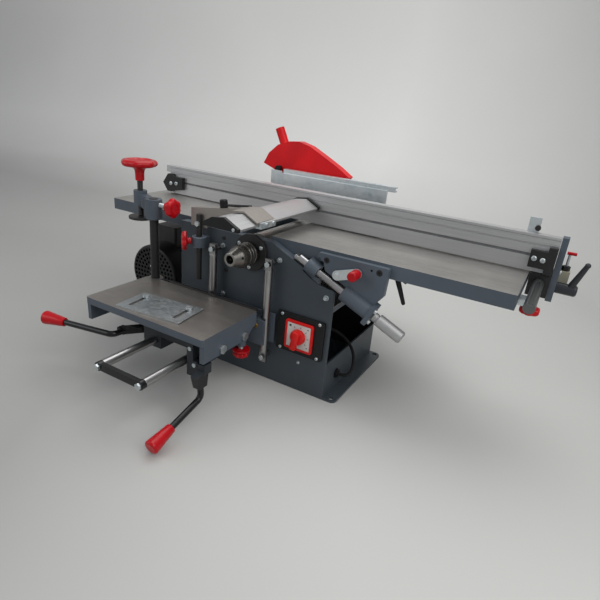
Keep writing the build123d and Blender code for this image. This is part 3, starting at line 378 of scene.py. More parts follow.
def make_finishes():
    """All finishes by name; polished and brushed ones say along which axis their lines run."""
    c = settings("colours")
    edge = tuple(c.steel)
    return {
        "slate": painted("slate_paint", c.slate),
        "slate_edge": worn_paint("slate_worn_edge", c.slate, edge),
        "panel": painted("panel_paint", c.panel, 0.34),
        "panel_edge": worn_paint("panel_worn_edge", c.panel, edge),
        # painted shade: near-black matt for the cabinet's inner faces and the chuck's bore
        "inside": matt("inside_painted_shade", shade(c.black, 0.6), 0.75),
        "iron": ground("ground_iron", c.iron),
        "mortise_iron": ground("mortise_iron", tint(c.iron, 0.80, 0.76, 0.74), 0.10, 0.60, 0.22),
        "red": moulded("red_plastic", c.red),
        "switch_red": moulded("switch_plastic", tint(c.red, 1.5, 4, 1.4), 0.28, 0.08),
        "hood": moulded("hood_plastic", tint(c.red, 1.55, 2, 1.3), 0.34, 0.02),
        "black": blackened("black_steel", c.black),
        "black_gloss": moulded("black_plastic", shade(c.black, 0.9), 0.34, 0.1),
        "lever": moulded("lever_enamel", shade(c.black, 0.7), 0.20, 0.2),
        "lever_grey": moulded("tilt_lever_plastic", (0.034, 0.037, 0.042), 0.30, 0.08),
        "groove": matt("groove_shadow", (0.24, 0.242, 0.245), 0.6),
        # dark finish of the chuck's bands, gear teeth and jaws; on the jaws deep in the bore it is painted
        # shade
        "chuck_dark": blackened("chuck_darkened", (0.030, 0.028, 0.025), 0.34),
        # painted shade: very dark slate for the saddle under the table; the stroke lever's head takes the
        # same dark paint
        "cast_dark": painted("dark_paint_and_painted_shade", shade(c.slate, 0.22), 0.42),
        "zinc": plated("zinc_plate", c.zinc),
        "bolt": plated("bolt_zinc", shade(c.zinc, 0.85)),
        "insert": plated("insert_zinc", shade(c.zinc, 0.60)),
        "rod_x": polished("bright_rod_x", c.chrome, 0, 0.22),
        "rod_y": polished("bright_rod_y", c.chrome, 1, 0.24),
        "rod_z": polished("bright_bar_z", shade(c.chrome, 0.85), 2, 0.25),
        "steel": machined("machined_steel", c.steel),
        "chuck": machined("chuck_steel", shade(c.steel, 0.62)),
        "blade": machined("blade_steel", shade(c.steel, 1.1), 0.2),
        "arm": brushed("arm_steel", c.arm, 0, 0.40, 0.12),
        "fence": brushed("fence_aluminium", shade(c.aluminium, 0.90), 0),
        "guard": brushed("guard_aluminium", shade(c.aluminium, 0.74), 1, 0.36, 0.10),
        "handle": brushed("handle_aluminium", shade(c.aluminium, 0.74), 0, 0.44, 0.1),
        "tube": brushed("tube_steel", (0.15, 0.158, 0.156), 1, 0.26, 0.1),
        "sheet": brushed("saw_table_sheet", shade(c.zinc, 0.7), 0, 0.4, 0.15),
        "brass": machined("brass_screw", c.brass),
        "beige": moulded("beige_block", c.beige, 0.4, 0.0),
        "dial": moulded("dial_plate", c.dial, 0.35, 0.1),
        "rubber": matt("black_rubber", shade(c.black, 0.9)),
    }


finishes = {}


# modelling by hand

def fresh():
    """Back in object mode with nothing selected."""
    if bpy.context.object and bpy.context.object.mode != "OBJECT":
        bpy.ops.object.mode_set(mode="OBJECT")
    bpy.ops.object.select_all(action="DESELECT")


def take(piece):
    fresh()
    piece.select_set(True)
    bpy.context.view_layer.objects.active = piece


def fix_place():
    """Puts the place, turn and scale of the selected piece into its mesh."""
    bpy.ops.object.transform_apply(location=True, rotation=True, scale=True)


def edit(piece, action="SELECT"):
    take(piece)
    bpy.ops.object.mode_set(mode="EDIT")
    bpy.ops.mesh.select_all(action=action)


def pick(piece, kind, test):
    """In edit mode, selects only the edges or vertices that pass the test."""
    bpy.ops.mesh.select_mode(type=kind)
    bpy.ops.mesh.select_all(action="DESELECT")
    mesh = bmesh.from_edit_mesh(piece.data)
    found = [item for item in {"EDGE": mesh.edges, "VERT": mesh.verts}[kind] if test(item)]
    for item in found:
        item.select_set(True)
    mesh.select_flush_mode()
    bmesh.update_edit_mesh(piece.data)
    return len(found)


def modify(piece, kind, **options):
    take(piece)
    modifier = piece.modifiers.new(kind.title(), kind)
    for key, value in options.items():
        setattr(modifier, key, value)
    bpy.ops.object.modifier_apply(modifier=modifier.name)


def smooth_out(piece, levels=2):
    modify(piece, "SUBSURF", levels=levels, render_levels=levels)


def set_on(piece, start, axis):
    """Turns a piece made along +Z on to its axis, with its foot at a point in mm."""
    turn = Vector(UP).rotation_difference(Vector(axis)).to_matrix().to_4x4()
    take(piece)
    piece.matrix_world = Matrix.Translation(Vector(start) * MM) @ turn @ piece.matrix_world
    fix_place()
    return piece


def merge(*pieces):
    take(pieces[0])
    for piece in pieces[1:]:
        piece.select_set(True)
    bpy.ops.object.join()
    return pieces[0]


def coat(piece, *names):
    piece.data.materials.clear()
    for name in names:
        piece.data.materials.append(finishes[name])
    return piece


def settle(piece, name, slot, *replaced, body=None):
    """A finished piece gets its name, smooth shading and its body; the nodes it stands for are hidden."""
    take(piece)
    piece.name = name
    piece.data.name = name
    bpy.ops.object.shade_smooth_by_angle(angle=SMOOTH_ANGLE)
    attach(piece, body or body_of_node[replaced[0]])
    if replaced:
        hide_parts(*replaced)
    return piece


def islands(mesh):
    """Groups of faces that hang together, each with its lowest and highest corner in mm."""
    left = set(mesh.faces)
    while left:
        group = [left.pop()]
        for face in group:
            near = {other for e in face.edges for other in e.link_faces if other in left}
            left -= near
            group.extend(near)
        corners = [v.co / MM for face in group for v in face.verts]
        low = Vector([min(c[k] for c in corners) for k in range(3)])
        high = Vector([max(c[k] for c in corners) for k in range(3)])
        yield group, low, high


def sort_solids(piece, choose):
    """Gives each solid of a copied node its finish by its box; None takes the solid away."""
    edit(piece, "DESELECT")
    mesh = bmesh.from_edit_mesh(piece.data)
    gone = []
    for group, low, high in islands(mesh):
        index = choose(low, high)
        if index is None:
            gone += group
        else:
            for face in group:
                face.material_index = index
    bmesh.ops.delete(mesh, geom=gone, context="FACES")
    bmesh.update_edit_mesh(piece.data)
    fresh()


def lay_finish(piece, index, test):
    """Gives a finish to the faces whose middle and normal pass the test."""
    for face in piece.data.polygons:
        if test(face.center / MM, face.normal):
            face.material_index = index


def copied(node):
    """A merged copy of a CAD node, its flat faces whole again."""
    piece = bpy.data.objects.new(node + "_copy", nodes[node].data.copy())
    bpy.context.collection.objects.link(piece)
    edit(piece)
    bpy.ops.mesh.customdata_custom_splitnormals_clear()
    bpy.ops.mesh.remove_doubles(threshold=WELD)
    bpy.ops.mesh.dissolve_limited(angle_limit=FLAT_ANGLE)
    fresh()
    return piece


def softened(node, coats, width, slot, choose=None, folds=(), edge=-1):
    """A copied node with rounded edges; choose and edge index coats, folds get their radius first."""
    piece = coat(copied(node), *coats)
    if choose:
        sort_solids(piece, choose)
    for test, radius in folds:
        edit(piece, "DESELECT")
        if pick(piece, "EDGE", test):
            bpy.ops.mesh.bevel(offset=radius, segments=5, affect="EDGES", clamp_overlap=True)
        fresh()
    modify(piece, "BEVEL", width=width, segments=2, limit_method="ANGLE", angle_limit=SHARP_ANGLE,
           material=edge)
    settle(piece, node + "_rounded", slot, node)
    modify(piece, "WEIGHTED_NORMAL", keep_sharp=True, weight=60)
    return piece


def casting(node):
    """A painted casting with worn edges."""
    width = settings("sizes").cast_edge
    return softened(node, ["slate", "slate_edge"], width, "slate_paint", edge=1)


def turned(stations, sides=48, start=(0, 0, 0), axis=UP):
    """A turned piece: a disc drawn out through (radius, height) stations in mm, then set on its axis."""
    fresh()
    radius, height = stations[0]
    bpy.ops.mesh.primitive_circle_add(vertices=sides, radius=radius * MM, fill_type="NGON")
    piece = bpy.context.object
    edit(piece)
    bpy.ops.transform.translate(value=(0, 0, height * MM))
    for next_radius, next_height in stations[1:]:
        rise = (0, 0, (next_height - height) * MM)
        bpy.ops.mesh.extrude_region_move(TRANSFORM_OT_translate={"value": rise})
        share = next_radius / radius
        bpy.ops.transform.resize(value=(share, share, 1), center_override=(0, 0, next_height * MM))
        radius, height = next_radius, next_height
    bpy.ops.mesh.select_all(action="SELECT")
    bpy.ops.mesh.normals_make_consistent(inside=False)
    fresh()
    return set_on(piece, start, axis)


def lobed(stations, lobes, depth, low, high):
    """A turned body whose side is pressed in between its finger lobes, then smoothed."""
    piece = turned(stations, lobes * 4)
    step = FULL_TURN / (lobes * 4)
    edit(piece, "DESELECT")
    for phase, share in ((2, 1 - depth), (1, 1 - depth * 0.35), (3, 1 - depth * 0.35)):
        def in_valley(v):
            turn = round(math.atan2(v.co.y, v.co.x) / step) % 4
            return turn == phase and low < v.co.z / MM < high
        pick(piece, "VERT", in_valley)
        bpy.ops.transform.resize(value=(share, share, 1), center_override=(0, 0, 0))
    fresh()
    smooth_out(piece)
    return piece


def block(low, high, width, taper=None):
    """A rounded bar between two corners in mm; taper narrows its far end along X."""
    fresh()
    low, high = Vector(low), Vector(high)
    bpy.ops.mesh.primitive_cube_add(size=1, location=(low + high) / 2 * MM)
    piece = bpy.context.object
    piece.scale = (high - low) * MM
    fix_place()
    if taper:
        edit(piece, "DESELECT")
        end = high.x * MM
        pick(piece, "VERT", lambda v: abs(v.co.x - end) < 1e-6)
        middle = (low + high) / 2 * MM
        bpy.ops.transform.resize(value=(1, taper, taper), center_override=(end, middle.y, middle.z))
        fresh()
    modify(piece, "BEVEL", width=width * MM, segments=3, limit_method="ANGLE")
    return piece


def hex_head(start, axis, flats, height, washer=0.0):
    """A hexagon head with a chamfered crown, on a washer where it has one."""
    across = flats / math.sqrt(3)
    lift = 1.2 if washer else 0.0
    crown = [(across, lift), (across, height * 0.78), (across * 0.86, height), (across * 0.80, height)]
    pieces = [turned(crown, 6)]
    if washer:
        pieces.append(turned([(washer, 0), (washer, 0.9), (washer - 0.3, 1.2), (across * 0.9, 1.2)], 28))
    return set_on(merge(*pieces), start, axis)


def pan_head(start, axis, radius, height):
    """A round domed head with a hexagon socket."""
    socket = radius * 0.42
    dome = [(radius, 0), (radius, height * 0.35), (radius * 0.93, height * 0.68),
            (radius * 0.74, height * 0.93), (socket + 0.5, height)]
    head = turned(dome + [(socket, height - 0.05), (socket * 0.96, height * 0.35)], 24)
    return set_on(head, start, axis)


# stage, camera and cords

def camera_turn():
    """Columns: right, up and back of the camera, with its small roll."""
    azimuth, elevation, roll = (math.radians(v) for v in CAMERA_ANGLES)
    back = Vector((math.sin(azimuth) * math.cos(elevation), -math.cos(azimuth) * math.cos(elevation),
                   math.sin(elevation)))
    right = Vector((math.cos(azimuth), math.sin(azimuth), 0))
    up = back.cross(right)
    right = right * math.cos(roll) - up * math.sin(roll)
    return Matrix((right, back.cross(right), back)).transposed().to_4x4()


def lamp(name, place, aim, size, energy, hue):
    fresh()
    bpy.ops.object.light_add(type="AREA", location=place)
    light = bpy.context.object
    light.name = name
    light.data.size = size
    light.data.energy = energy
    light.data.color = hue
    light.rotation_euler = (Vector(aim) - Vector(place)).to_track_quat("-Z", "Y").to_euler()


class MACHINE_OT_stage(bpy.types.Operator):
    """Floor with a swept backdrop, soft lamps, sky and camera"""
    bl_idname = "machine.stage"
    bl_label = "Stage"

    def execute(self, context):
        s = settings("stage")
        scene = context.scene
        scene.view_settings.view_transform = "Standard"
        fresh()
        bpy.ops.object.camera_add(location=CAMERA_PLACE)
        camera = bpy.context.object
        camera.matrix_world = Matrix.Translation(camera.location) @ camera_turn()
        camera.data.lens = s.lens
        camera.data.clip_start = 0.01
        scene.camera = camera
        fresh()
        width, depth, rise, bend = 14, 6.4, 5, 1.1
        bpy.ops.mesh.primitive_plane_add(size=1, location=(0, -0.6, -0.0004))
        floor = bpy.context.object
        floor.scale = (width, depth, 1)
        fix_place()
        edit(floor, "DESELECT")
        pick(floor, "EDGE", lambda e: all(v.co.y > 2 for v in e.verts))
        bpy.ops.mesh.extrude_region_move(TRANSFORM_OT_translate={"value": (0, 0, rise)})
        pick(floor, "EDGE", lambda e: all(v.co.y > 2 and v.co.z < 0.1 for v in e.verts))
        bpy.ops.mesh.bevel(offset=bend, segments=16, affect="EDGES")
        fresh()
        floor.name = "studio_floor"
        f = Finish("studio_floor", Specular_IOR_Level=0.15, Emission_Strength=1.0)
        cloud = f.noise(1.3, 3)
        tone = f.mix(f.step(cloud), shade(s.floor, 0.97), shade(s.floor, 1.02))
        across = f.along("X")
        behind = f.along("Y")
        # painted shade: the floor in front grows darker to both sides of the view
        aside = f.along("X", f.spot(shift=(-0.30, 0, 0), turn=(0, 0, math.radians(-28))))
        floor_painted_shade = f.step(aside * aside, 0.02, 0.5) * f.step(behind, 1.6, 0.1) * 0.36
        f.feed("Base Color", f.mix(floor_painted_shade, tone, (0.0, 0.0, 0.0)))
        f.feed("Roughness", 0.7 + 0.1 * cloud)
        # the backdrop's glow is seen directly and in mirrors, and lights nothing
        rays = ("Is Camera Ray", "Is Glossy Ray", "Is Transmission Ray")
        seen = [f.node("ShaderNodeLightPath", out=ray) for ray in rays]
        glow = f.step(across, -7.0, -1.8) * f.step(across, 0.8, -0.6) * f.step(behind, 0.9, 2.2)
        share = f.step(seen[0] + seen[1] + seen[2], 0.0, 1.0) * glow
        f.feed("Emission Color", f.mix(share, (0.0, 0.0, 0.0), s.backdrop))
        floor.data.materials.append(f.material)
        take(floor)
        bpy.ops.object.shade_smooth()
        lamp("key_lamp", (1.7, -0.7, 1.9), (0.1, 0, 0.2), 1.6, s.key, (1.0, 0.99, 0.97))
        lamp("top_lamp", (-0.2, 0.5, 2.1), (0, 0, 0.2), 1.8, s.top, (1.0, 1.0, 1.0))
        lamp("fill_lamp", (-1.5, -1.7, 1.2), (0, 0, 0.2), 1.4, s.fill, (0.97, 0.99, 1.0))
        world = bpy.data.worlds.new("studio")
        scene.world = world
        world.use_nodes = True
        sky = world.node_tree.nodes["Background"]
        sky.inputs["Color"].default_value = (0.93, 0.95, 1.0, 1)
        sky.inputs["Strength"].default_value = s.world
        return {"FINISHED"}


class Dresser:
    """Runs one group's own work with the sizes that are set."""

    def execute(self, context):
        self.dress(settings("sizes"))
        return {"FINISHED"}


class MACHINE_OT_lead(Dresser, bpy.types.Operator):
    """Lead from the gland in the end wall up to the switch housing"""
    bl_idname = "machine.lead"
    bl_label = "Lead"

    def dress(self, size):
        route = ((198, -72, 37), (218, -72, 37), (221, -54, 58), (206, -32, 82), (176, -22, 101),
                 (142, -42, 121), (142, -80, 121))
        thick = 6.4 * MM
        fresh()
        bpy.ops.curve.primitive_nurbs_path_add()
        lead = bpy.context.object
        lead.name = "switch_lead"
        lead.data.splines.clear()
        spline = lead.data.splines.new("NURBS")
        spline.points.add(len(route) - 1)
        for spot, point in zip(spline.points, route):
            spot.co = (*(Vector(point) * MM), 1.0)
        spline.order_u = 3
        spline.use_endpoint_u = True
        spline.resolution_u = 12
        lead.data.bevel_depth = thick / 2
        lead.data.bevel_resolution = 5
        lead.data.materials.append(finishes["rubber"])
        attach(lead, "base")
        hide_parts("machine_cable")
        gland = softened("cable_gland", ["black_gloss"], 0.0008, "black_plastic")


# pieces

def is_small(low, high, limit=13):
    return max(high - low) < limit


def by_size(small, large, limit=13):
    """Picks one finish for bolt-sized solids and another for the rest."""
    return lambda low, high: small if is_small(low, high, limit) else large


def upright_corner(e):
    """Upright outer corners of the cabinet's panels."""
    first, second = (v.co / MM for v in e.verts)
    upright = abs(first.x - second.x) < 0.1 and abs(first.z - second.z) > 30
    return upright and abs(first.x) > 189.5 and abs(first.y) > 128.5


class MACHINE_OT_cabinet(Dresser, bpy.types.Operator):
    """Cabinet, cheeks, bearing caps and bearings"""
    bl_idname = "machine.cabinet"
    bl_label = "Cabinet"

    def dress(self, size):
        cabinet = softened("base_cabinet", ["panel", "panel_edge", "inside"], size.sheet_edge, "slate_paint",
                           edge=1, folds=[(upright_corner, size.corner_fold)])
        wall_x, wall_y, base_top = 188, 127, 6

        def is_inside(m, n):
            return abs(m.x) < wall_x and abs(m.y) < wall_y and m.z > base_top and abs(n.z) < 0.5
        # painted shade: the cabinet's inner faces take the near-black inside finish
        lay_finish(cabinet, 2, is_inside)
        for node in ("front_cheek", "rear_cheek"):
            casting(node)
        softened("bearing_caps", ["black"], size.cast_edge, "black_metal")
        coat(nodes["spindle_bearings"], "steel")


class MACHINE_OT_bolts(Dresser, bpy.types.Operator):
    """Bolt and screw heads on the cabinet"""
    bl_idname = "machine.bolts"
    bl_label = "Cabinet bolts"

    def dress(self, size):
        cheek_bolts = ((-73, 270.5), (66, 271), (-70, 164.5), (174, 221))
        heads = [hex_head((x, CHEEK_FACE, z), FRONT, 8, 5.5, 5.5) for x, z in cheek_bolts]
        heads += [hex_head((x, BAR_HEADS, z), FRONT, 10, 3.0) for x in (-82.7, 54.6) for z in (265, 63)]
        heads += [pan_head((x, PLATE_FACE, z), FRONT, 3.6, 2.5) for x in (85.5, 170.5) for z in (91.3, 165.7)]
        circle = 30.3
        for turn in (30, 150, 270):
            x = circle * math.cos(math.radians(turn))
            z = SPINDLE_Z + circle * math.sin(math.radians(turn))
            heads.append(pan_head((x, CAP_FACE, z), FRONT, 4.2, 3.0))
        heads.append(pan_head((128, CHEEK_FACE, 65), FRONT, 3.5, 2.5))
        settle(coat(merge(*heads), "bolt"), "cabinet_bolt_heads", "zinc", "cabinet_bolts")
        dark = [pan_head((x, CHEEK_FACE, z), FRONT, 4.5, 2.0) for x, z in ((-72, 286.5), (-64, 218.5))]
        settle(coat(merge(*dark), "black"), "cabinet_dark_bolts", "black_metal", "cabinet_bolts")


class MACHINE_OT_tables(Dresser, bpy.types.Operator):
    """Planing tables, bed, aprons, guide rods, cutter block and handle"""
    bl_idname = "machine.tables"
    bl_label = "Tables"

    def dress(self, size):
        ground_skin = 0.9
        for node, top in (("outfeed_table", 309), ("infeed_table", 308.5), ("thicknesser_bed", 187)):
            table = softened(node, ["slate", "slate_edge", "iron"], size.cast_edge * 0.7, "ground_iron",
                             edge=1)
            lay_finish(table, 2, lambda m, n: m.z > top - ground_skin)
        softened("infeed_aprons", ["slate", "black", "bolt"], size.cast_edge, "slate_paint",
                 choose=lambda low, high: 0 if max(high - low) > 20 else (2 if low.z < 240 else 1))
        softened("guide_rods", ["rod_x"], size.sheet_edge, "chrome_steel")
        softened("cutter_block", ["steel"], size.sheet_edge * 0.6, "machined_steel")
        along = Vector((math.cos(GUIDE_SLOPE), 0, -math.sin(GUIDE_SLOPE)))
        rod_length = 152
        stations = [(6, 0), (6, 22), (8.4, 23), (9, 23.6), (9, 31), (8.2, 31.6), (8.2, 33), (11.2, 33.6),
                    (12, 34.6), (12, 84), (11.4, 85.6), (10, 87.4), (8.6, 88), (8.2, 87.2), (7.4, 87.2)]
        handle = coat(turned(stations, 56, Vector(GUIDE_ROD) + along * rod_length, along), "handle")
        settle(handle, "infeed_twist_handle", "aluminium", "infeed_handle")


class MACHINE_OT_spindle(Dresser, bpy.types.Operator):
    """Drill chuck, shaft, pulley, belt and saw blade"""
    bl_idname = "machine.spindle"
    bl_label = "Spindle"

    def dress(self, size):
        shell = [(12.6, 0), (21.4, 0), (22.6, 0.6), (23, 1.6), (23, 5.2), (22.6, 5.7), (21, 6.2), (21, 8.3),
                 (22.6, 9), (23, 9.6), (23, 13), (22.6, 13.6), (21, 14.2), (21, 16.3), (22.6, 17), (23, 17.6),
                 (23, 22), (22.6, 22.6), (21, 23.2), (21, 26.6), (22, 27.2), (22, 34.8), (21.4, 35.4),
                 (19.5, 36), (19.5, 39.4), (18.9, 40.6), (13.5, 59), (12.9, 60.5), (11.8, 61), (9, 61),
                 (8.4, 60.4), (8.2, 32), (6, 30)]
        chuck = turned(shell, 72, CHUCK_BACK, FRONT)
        key_hole = (0, -185, SPINDLE_Z)
        holes = []
        for k in range(3):
            turn = FULL_TURN * (k / 3 + 0.03)
            aim = (math.cos(turn), 0, math.sin(turn))
            holes.append(turned([(2.6, 13), (2.6, 26)], 20, key_hole, aim))
        cutter = merge(*holes)
        modify(chuck, "BOOLEAN", operation="DIFFERENCE", object=cutter, solver="EXACT")
        bpy.data.objects.remove(cutter)
        coat(chuck, "chuck", "chuck_dark", "inside")

        # the chuck's three banded zones along its length take the dark finish
        def in_dark_band(m, n):
            depth = CHUCK_BACK[1] - m.y
            return any(low < depth < high for low, high in ((5.6, 8.9), (13.6, 16.9), (22.6, 36)))
        lay_finish(chuck, 1, in_dark_band)
        # painted shade: the faces in the chuck's bore take the near-black inside finish
        bore = 8.6
        lay_finish(chuck, 2, lambda m, n: m.y < -172 and math.hypot(m.x, m.z - SPINDLE_Z) < bore)
        teeth = []
        for k in range(24):
            turn = FULL_TURN * k / 24
            tooth = block((21.4, -1.4, 0), (23.4, 1.4, 6), 0.4, 0.7)
            tooth.matrix_world = Matrix.Rotation(turn, 4, "Z")
            teeth.append(set_on(tooth, (0, -170.5, SPINDLE_Z), FRONT))
        jaws = []
        # painted shade: the jaws deep in the bore take the dark finish
        for k in range(3):
            jaw = block((3.4, -2.2, 28), (7.9, 2.2, 53), 0.5)
            jaw.matrix_world = Matrix.Rotation(FULL_TURN * k / 3 + math.pi / 2, 4, "Z")
            jaws.append(set_on(jaw, CHUCK_BACK, FRONT))
        chuck = merge(chuck, coat(merge(*teeth), "chuck_dark"), coat(merge(*jaws), "chuck_dark"))
        settle(chuck, "drill_chuck_turned", "machined_steel", "drill_chuck")
        softened("spindle_shaft", ["steel"], size.sheet_edge, "machined_steel")
        softened("spindle_pulley", ["sheet"], size.sheet_edge, "aluminium")
        coat(nodes["saw_blade"], "blade")
        softened("drive_belt", ["rubber"], size.sheet_edge, "black_rubber")


class MACHINE_OT_motor(Dresser, bpy.types.Operator):
    """Motor, its fan cowl and rotor"""
    bl_idname = "machine.motor"
    bl_label = "Motor"

    def dress(self, size):
        softened("motor_body", ["black", "slate"], size.sheet_edge, "black_metal",
                 choose=lambda low, high: 1 if high.x > -200 else 0)
        softened("motor_cowl", ["black_gloss"], size.sheet_edge * 0.7, "black_metal")
        softened("motor_rotor", ["steel", "black_gloss"], size.sheet_edge * 0.5, "machined_steel",
                 choose=lambda low, high: 1 if low.y > -41 and high.y < 0 else 0)


class MACHINE_OT_fence(Dresser, bpy.types.Operator):
    """Tilting fence with its carriage, end plate and tube"""
    bl_idname = "machine.fence"
    bl_label = "Fence"

    def dress(self, size):
        fence = softened("fence_profile", ["fence", "groove"], size.sheet_edge * 0.5, "aluminium")
        front, back, bottom, top = 44.4, 48.6, 338.4, 344.6
        # painted shadow: the faces in the fence's slot take the dark groove finish
        lay_finish(fence, 1, lambda m, n: front < m.y < back and bottom < m.z < top)

        def end_part(low, high):
            if is_small(low, high):
                return 0 if high.z > 380 else None
            return 1 if high.z > 400 or high.x > 540 else 0
        softened("fence_end_blocks", ["black", "zinc"], size.sheet_edge, "black_metal", choose=end_part)
        block_bolts = ((-374, 337), (-356, 338.5), (495, 338), (509.5, 337))
        heads = [pan_head((x, 34, height), FRONT, 5, 3) for x, height in block_bolts]
        settle(coat(merge(*heads), "bolt"), "fence_block_bolts", "zinc", "fence_end_blocks")

        def plate_part(low, high):
            if high.z > 360:
                return 0
            if high.z < 316:
                return 1
            return 2 if high.z < 330 else (3 if low.z < 340 else 4)
        softened("fence_end_plate", ["slate", "beige", "black", "bolt", "red"], size.cast_edge,
                 "slate_paint", choose=plate_part)
        softened("fence_carriage", ["black"], size.cast_edge, "black_metal")
        softened("fence_tube", ["tube"], size.sheet_edge, "zinc")
        softened("fence_bracket", ["zinc"], size.cast_edge, "zinc")


class MACHINE_OT_guard(Dresser, bpy.types.Operator):
    """Bridge guard, its arm, post and clamp"""
    bl_idname = "machine.guard"
    bl_label = "Guard"

    def dress(self, size):
        casting("guard_clamp")
        softened("guard_post", ["black"], size.sheet_edge, "black_metal")

        def arm_part(low, high):
            if is_small(low, high):
                return 2
            return 1 if low.x > 40 else 0
        softened("guard_arm", ["arm", "zinc", "bolt"], size.sheet_edge, "machined_steel", choose=arm_part)
        softened("bridge_guard", ["guard", "black_gloss", "bolt"], size.sheet_edge, "aluminium",
                 choose=lambda low, high: 2 if is_small(low, high) else (0 if high.y - low.y > 100 else 1))


class MACHINE_OT_mortiser(Dresser, bpy.types.Operator):
    """Mortising knee, saddle, table, guide bars and rods"""
    bl_idname = "machine.mortiser"
    bl_label = "Mortiser"

    def dress(self, size):
        softened("guide_bars", ["rod_z"], size.sheet_edge, "chrome_steel")
        softened("mortise_knee", ["slate", "slate_edge", "brass"], size.cast_edge, "slate_paint",
                 choose=by_size(2, 0))
        softened("stroke_rods", ["rod_y", "lever", "bolt"], size.sheet_edge, "chrome_steel",
                 choose=lambda low, high: 2 if is_small(low, high) else (0 if high.y - low.y > 100 else 1))
        # painted shade: the saddle's casting takes the very dark paint
        softened("mortise_saddle", ["cast_dark", "bolt"], size.cast_edge, "slate_paint", choose=by_size(1, 0))

        def table_part(low, high):
            if is_small(low, high):
                return 3
            return 4 if high.y - low.y < 10 else 0
        table = softened("mortise_table", ["slate", "slate_edge", "mortise_iron", "bolt", "black"],
                         size.cast_edge, "ground_iron", choose=table_part)
        bottom, top, back = 166.8, 168.2, -165
        lay_finish(table, 2, lambda m, n: bottom < m.z < top and m.y < back)
        softened("cross_rods", ["rod_x", "bolt"], size.sheet_edge, "chrome_steel", choose=by_size(1, 0, 20))
        softened("table_insert", ["insert", "bolt"], size.sheet_edge * 0.6, "zinc",
                 choose=lambda low, high: 0 if max(high - low) > 60 else 1)


class MACHINE_OT_hold_down(Dresser, bpy.types.Operator):
    """Hold-down post, arm, pad, screw and lobed handwheel"""
    bl_idname = "machine.hold_down"
    bl_label = "Hold-down"

    def dress(self, size):
        softened("holddown_post", ["black"], size.sheet_edge, "black_metal")
        casting("holddown_arm")
        softened("holddown_pad", ["black"], size.cast_edge, "black_metal")
        r = size.wheel / MM
        hub = [(8.6, 376), (9.2, 376.4), (9.3, 384), (9.5, 391), (9.9, 397), (12.4, 401.6), (20, 404.4),
               (r - 8, 405), (r - 3, 406.5), (r, 410), (r, 414), (r - 3, 418), (r - 8, 419.8), (r - 12, 419),
               (r - 15, 416.4), (14, 415), (9, 415.4), (4, 415.6)]
        wheel = lobed(hub, size.wheel_lobes, 0.10, 404.8, 419.9)
        set_on(wheel, HOLD_SCREW, UP)
        pitch = size.thread / MM
        bottom, top, root, crest = 302, 376, 5.3, 6.0
        thread = []
        for k in range(int((top - bottom) / pitch)):
            for radius, share in ((root, 0), (crest, 0.42), (crest, 0.58)):
                thread.append((radius, bottom + (k + share) * pitch))
        screw = turned([(5.0, bottom - 1)] + thread + [(root, top + 1)], 28, HOLD_SCREW, UP)
        coat(wheel, "red")
        coat(screw, "black")
        settle(wheel, "holddown_handwheel", "red_plastic", "holddown_screw")
        settle(screw, "holddown_thread", "black_metal", "holddown_screw")


# node, seat, axis, radius, thickness, radius and length of the hub, length of the stud, lobes
STAR_KNOBS = (
    ("holddown_knob", (-186, -163, 333), (1, 0, 0), 21.5, 15, 10, 12, 30, 6),
    ("guard_post_knob", (-139.06, -165.55, 273.5), (-0.7373, -0.6756, 0), 20.5, 11.5, 6.5, 9.5, 9.5, 6),
    ("fence_lock_knob", (513, -50, 276), (0, 0, -1), 18, 13, 8, 3, 3, 6),
    ("knee_knob", (20, -180, 77), (0, 0, -1), 17.5, 13, 18.5, 6, 13, 8),
)


class MACHINE_OT_star_knobs(Dresser, bpy.types.Operator):
    """Red star knobs on their studs"""
    bl_idname = "machine.star_knobs"
    bl_label = "Star knobs"

    def dress(self, size):
        stud_r = 5.0
        for node, seat, axis, r, t, hub, hub_length, stud, lobes in STAR_KNOBS:
            body = [(hub - 0.6, -hub_length), (hub, 0.6 - hub_length), (hub, -0.6),
                    (min(hub + 1.5, r * 0.79), 0), (r * 0.80, 0.3), (r * 0.95, 1.2), (r, t * 0.22),
                    (r, t * 0.52), (r * 0.96, t * 0.72), (r * 0.80, t * 0.92), (r * 0.52, t * 0.97),
                    (r * 0.44, t * 0.99), (r * 0.40, t * 0.94), (r * 0.2, t * 0.92)]
            knob = set_on(lobed(body, lobes, size.lobe_depth, 0.2, t * 0.95), seat, axis)
            coat(knob, "red")
            settle(knob, node + "_lobed", "red_plastic", node)
            if stud > hub_length:
                stations = [(stud_r - 0.6, 0.3 - stud), (stud_r, 0.8 - stud)]
                for k in range(1, int(stud - hub_length) + 1):
                    stations.append((stud_r - 0.45 * (k % 2), 0.8 - stud + k))
                shank = set_on(turned(stations + [(stud_r - 0.6, 0)], 24), seat, axis)
                settle(coat(shank, "bolt"), node + "_stud", "zinc", node)


def grip(start, end, small, large):
    """A tapered plastic grip with a rounded mouth and a dished end."""
    run = (Vector(end) - Vector(start)).length
    rise = large - small
    stations = [(small - 1.4, 0), (small - 0.4, 0.4), (small, 1.6), (small + rise * 0.30, run * 0.30),
                (small + rise * 0.66, run * 0.62), (large - 0.1, run * 0.90), (large, run - 4),
                (large - 0.4, run - 2.2), (large - 1.3, run - 0.8), (large - 2.6, run - 0.1),
                (large - 6, run), (large - 9, run)]
    return turned(stations, 40, start, Vector(end) - Vector(start))


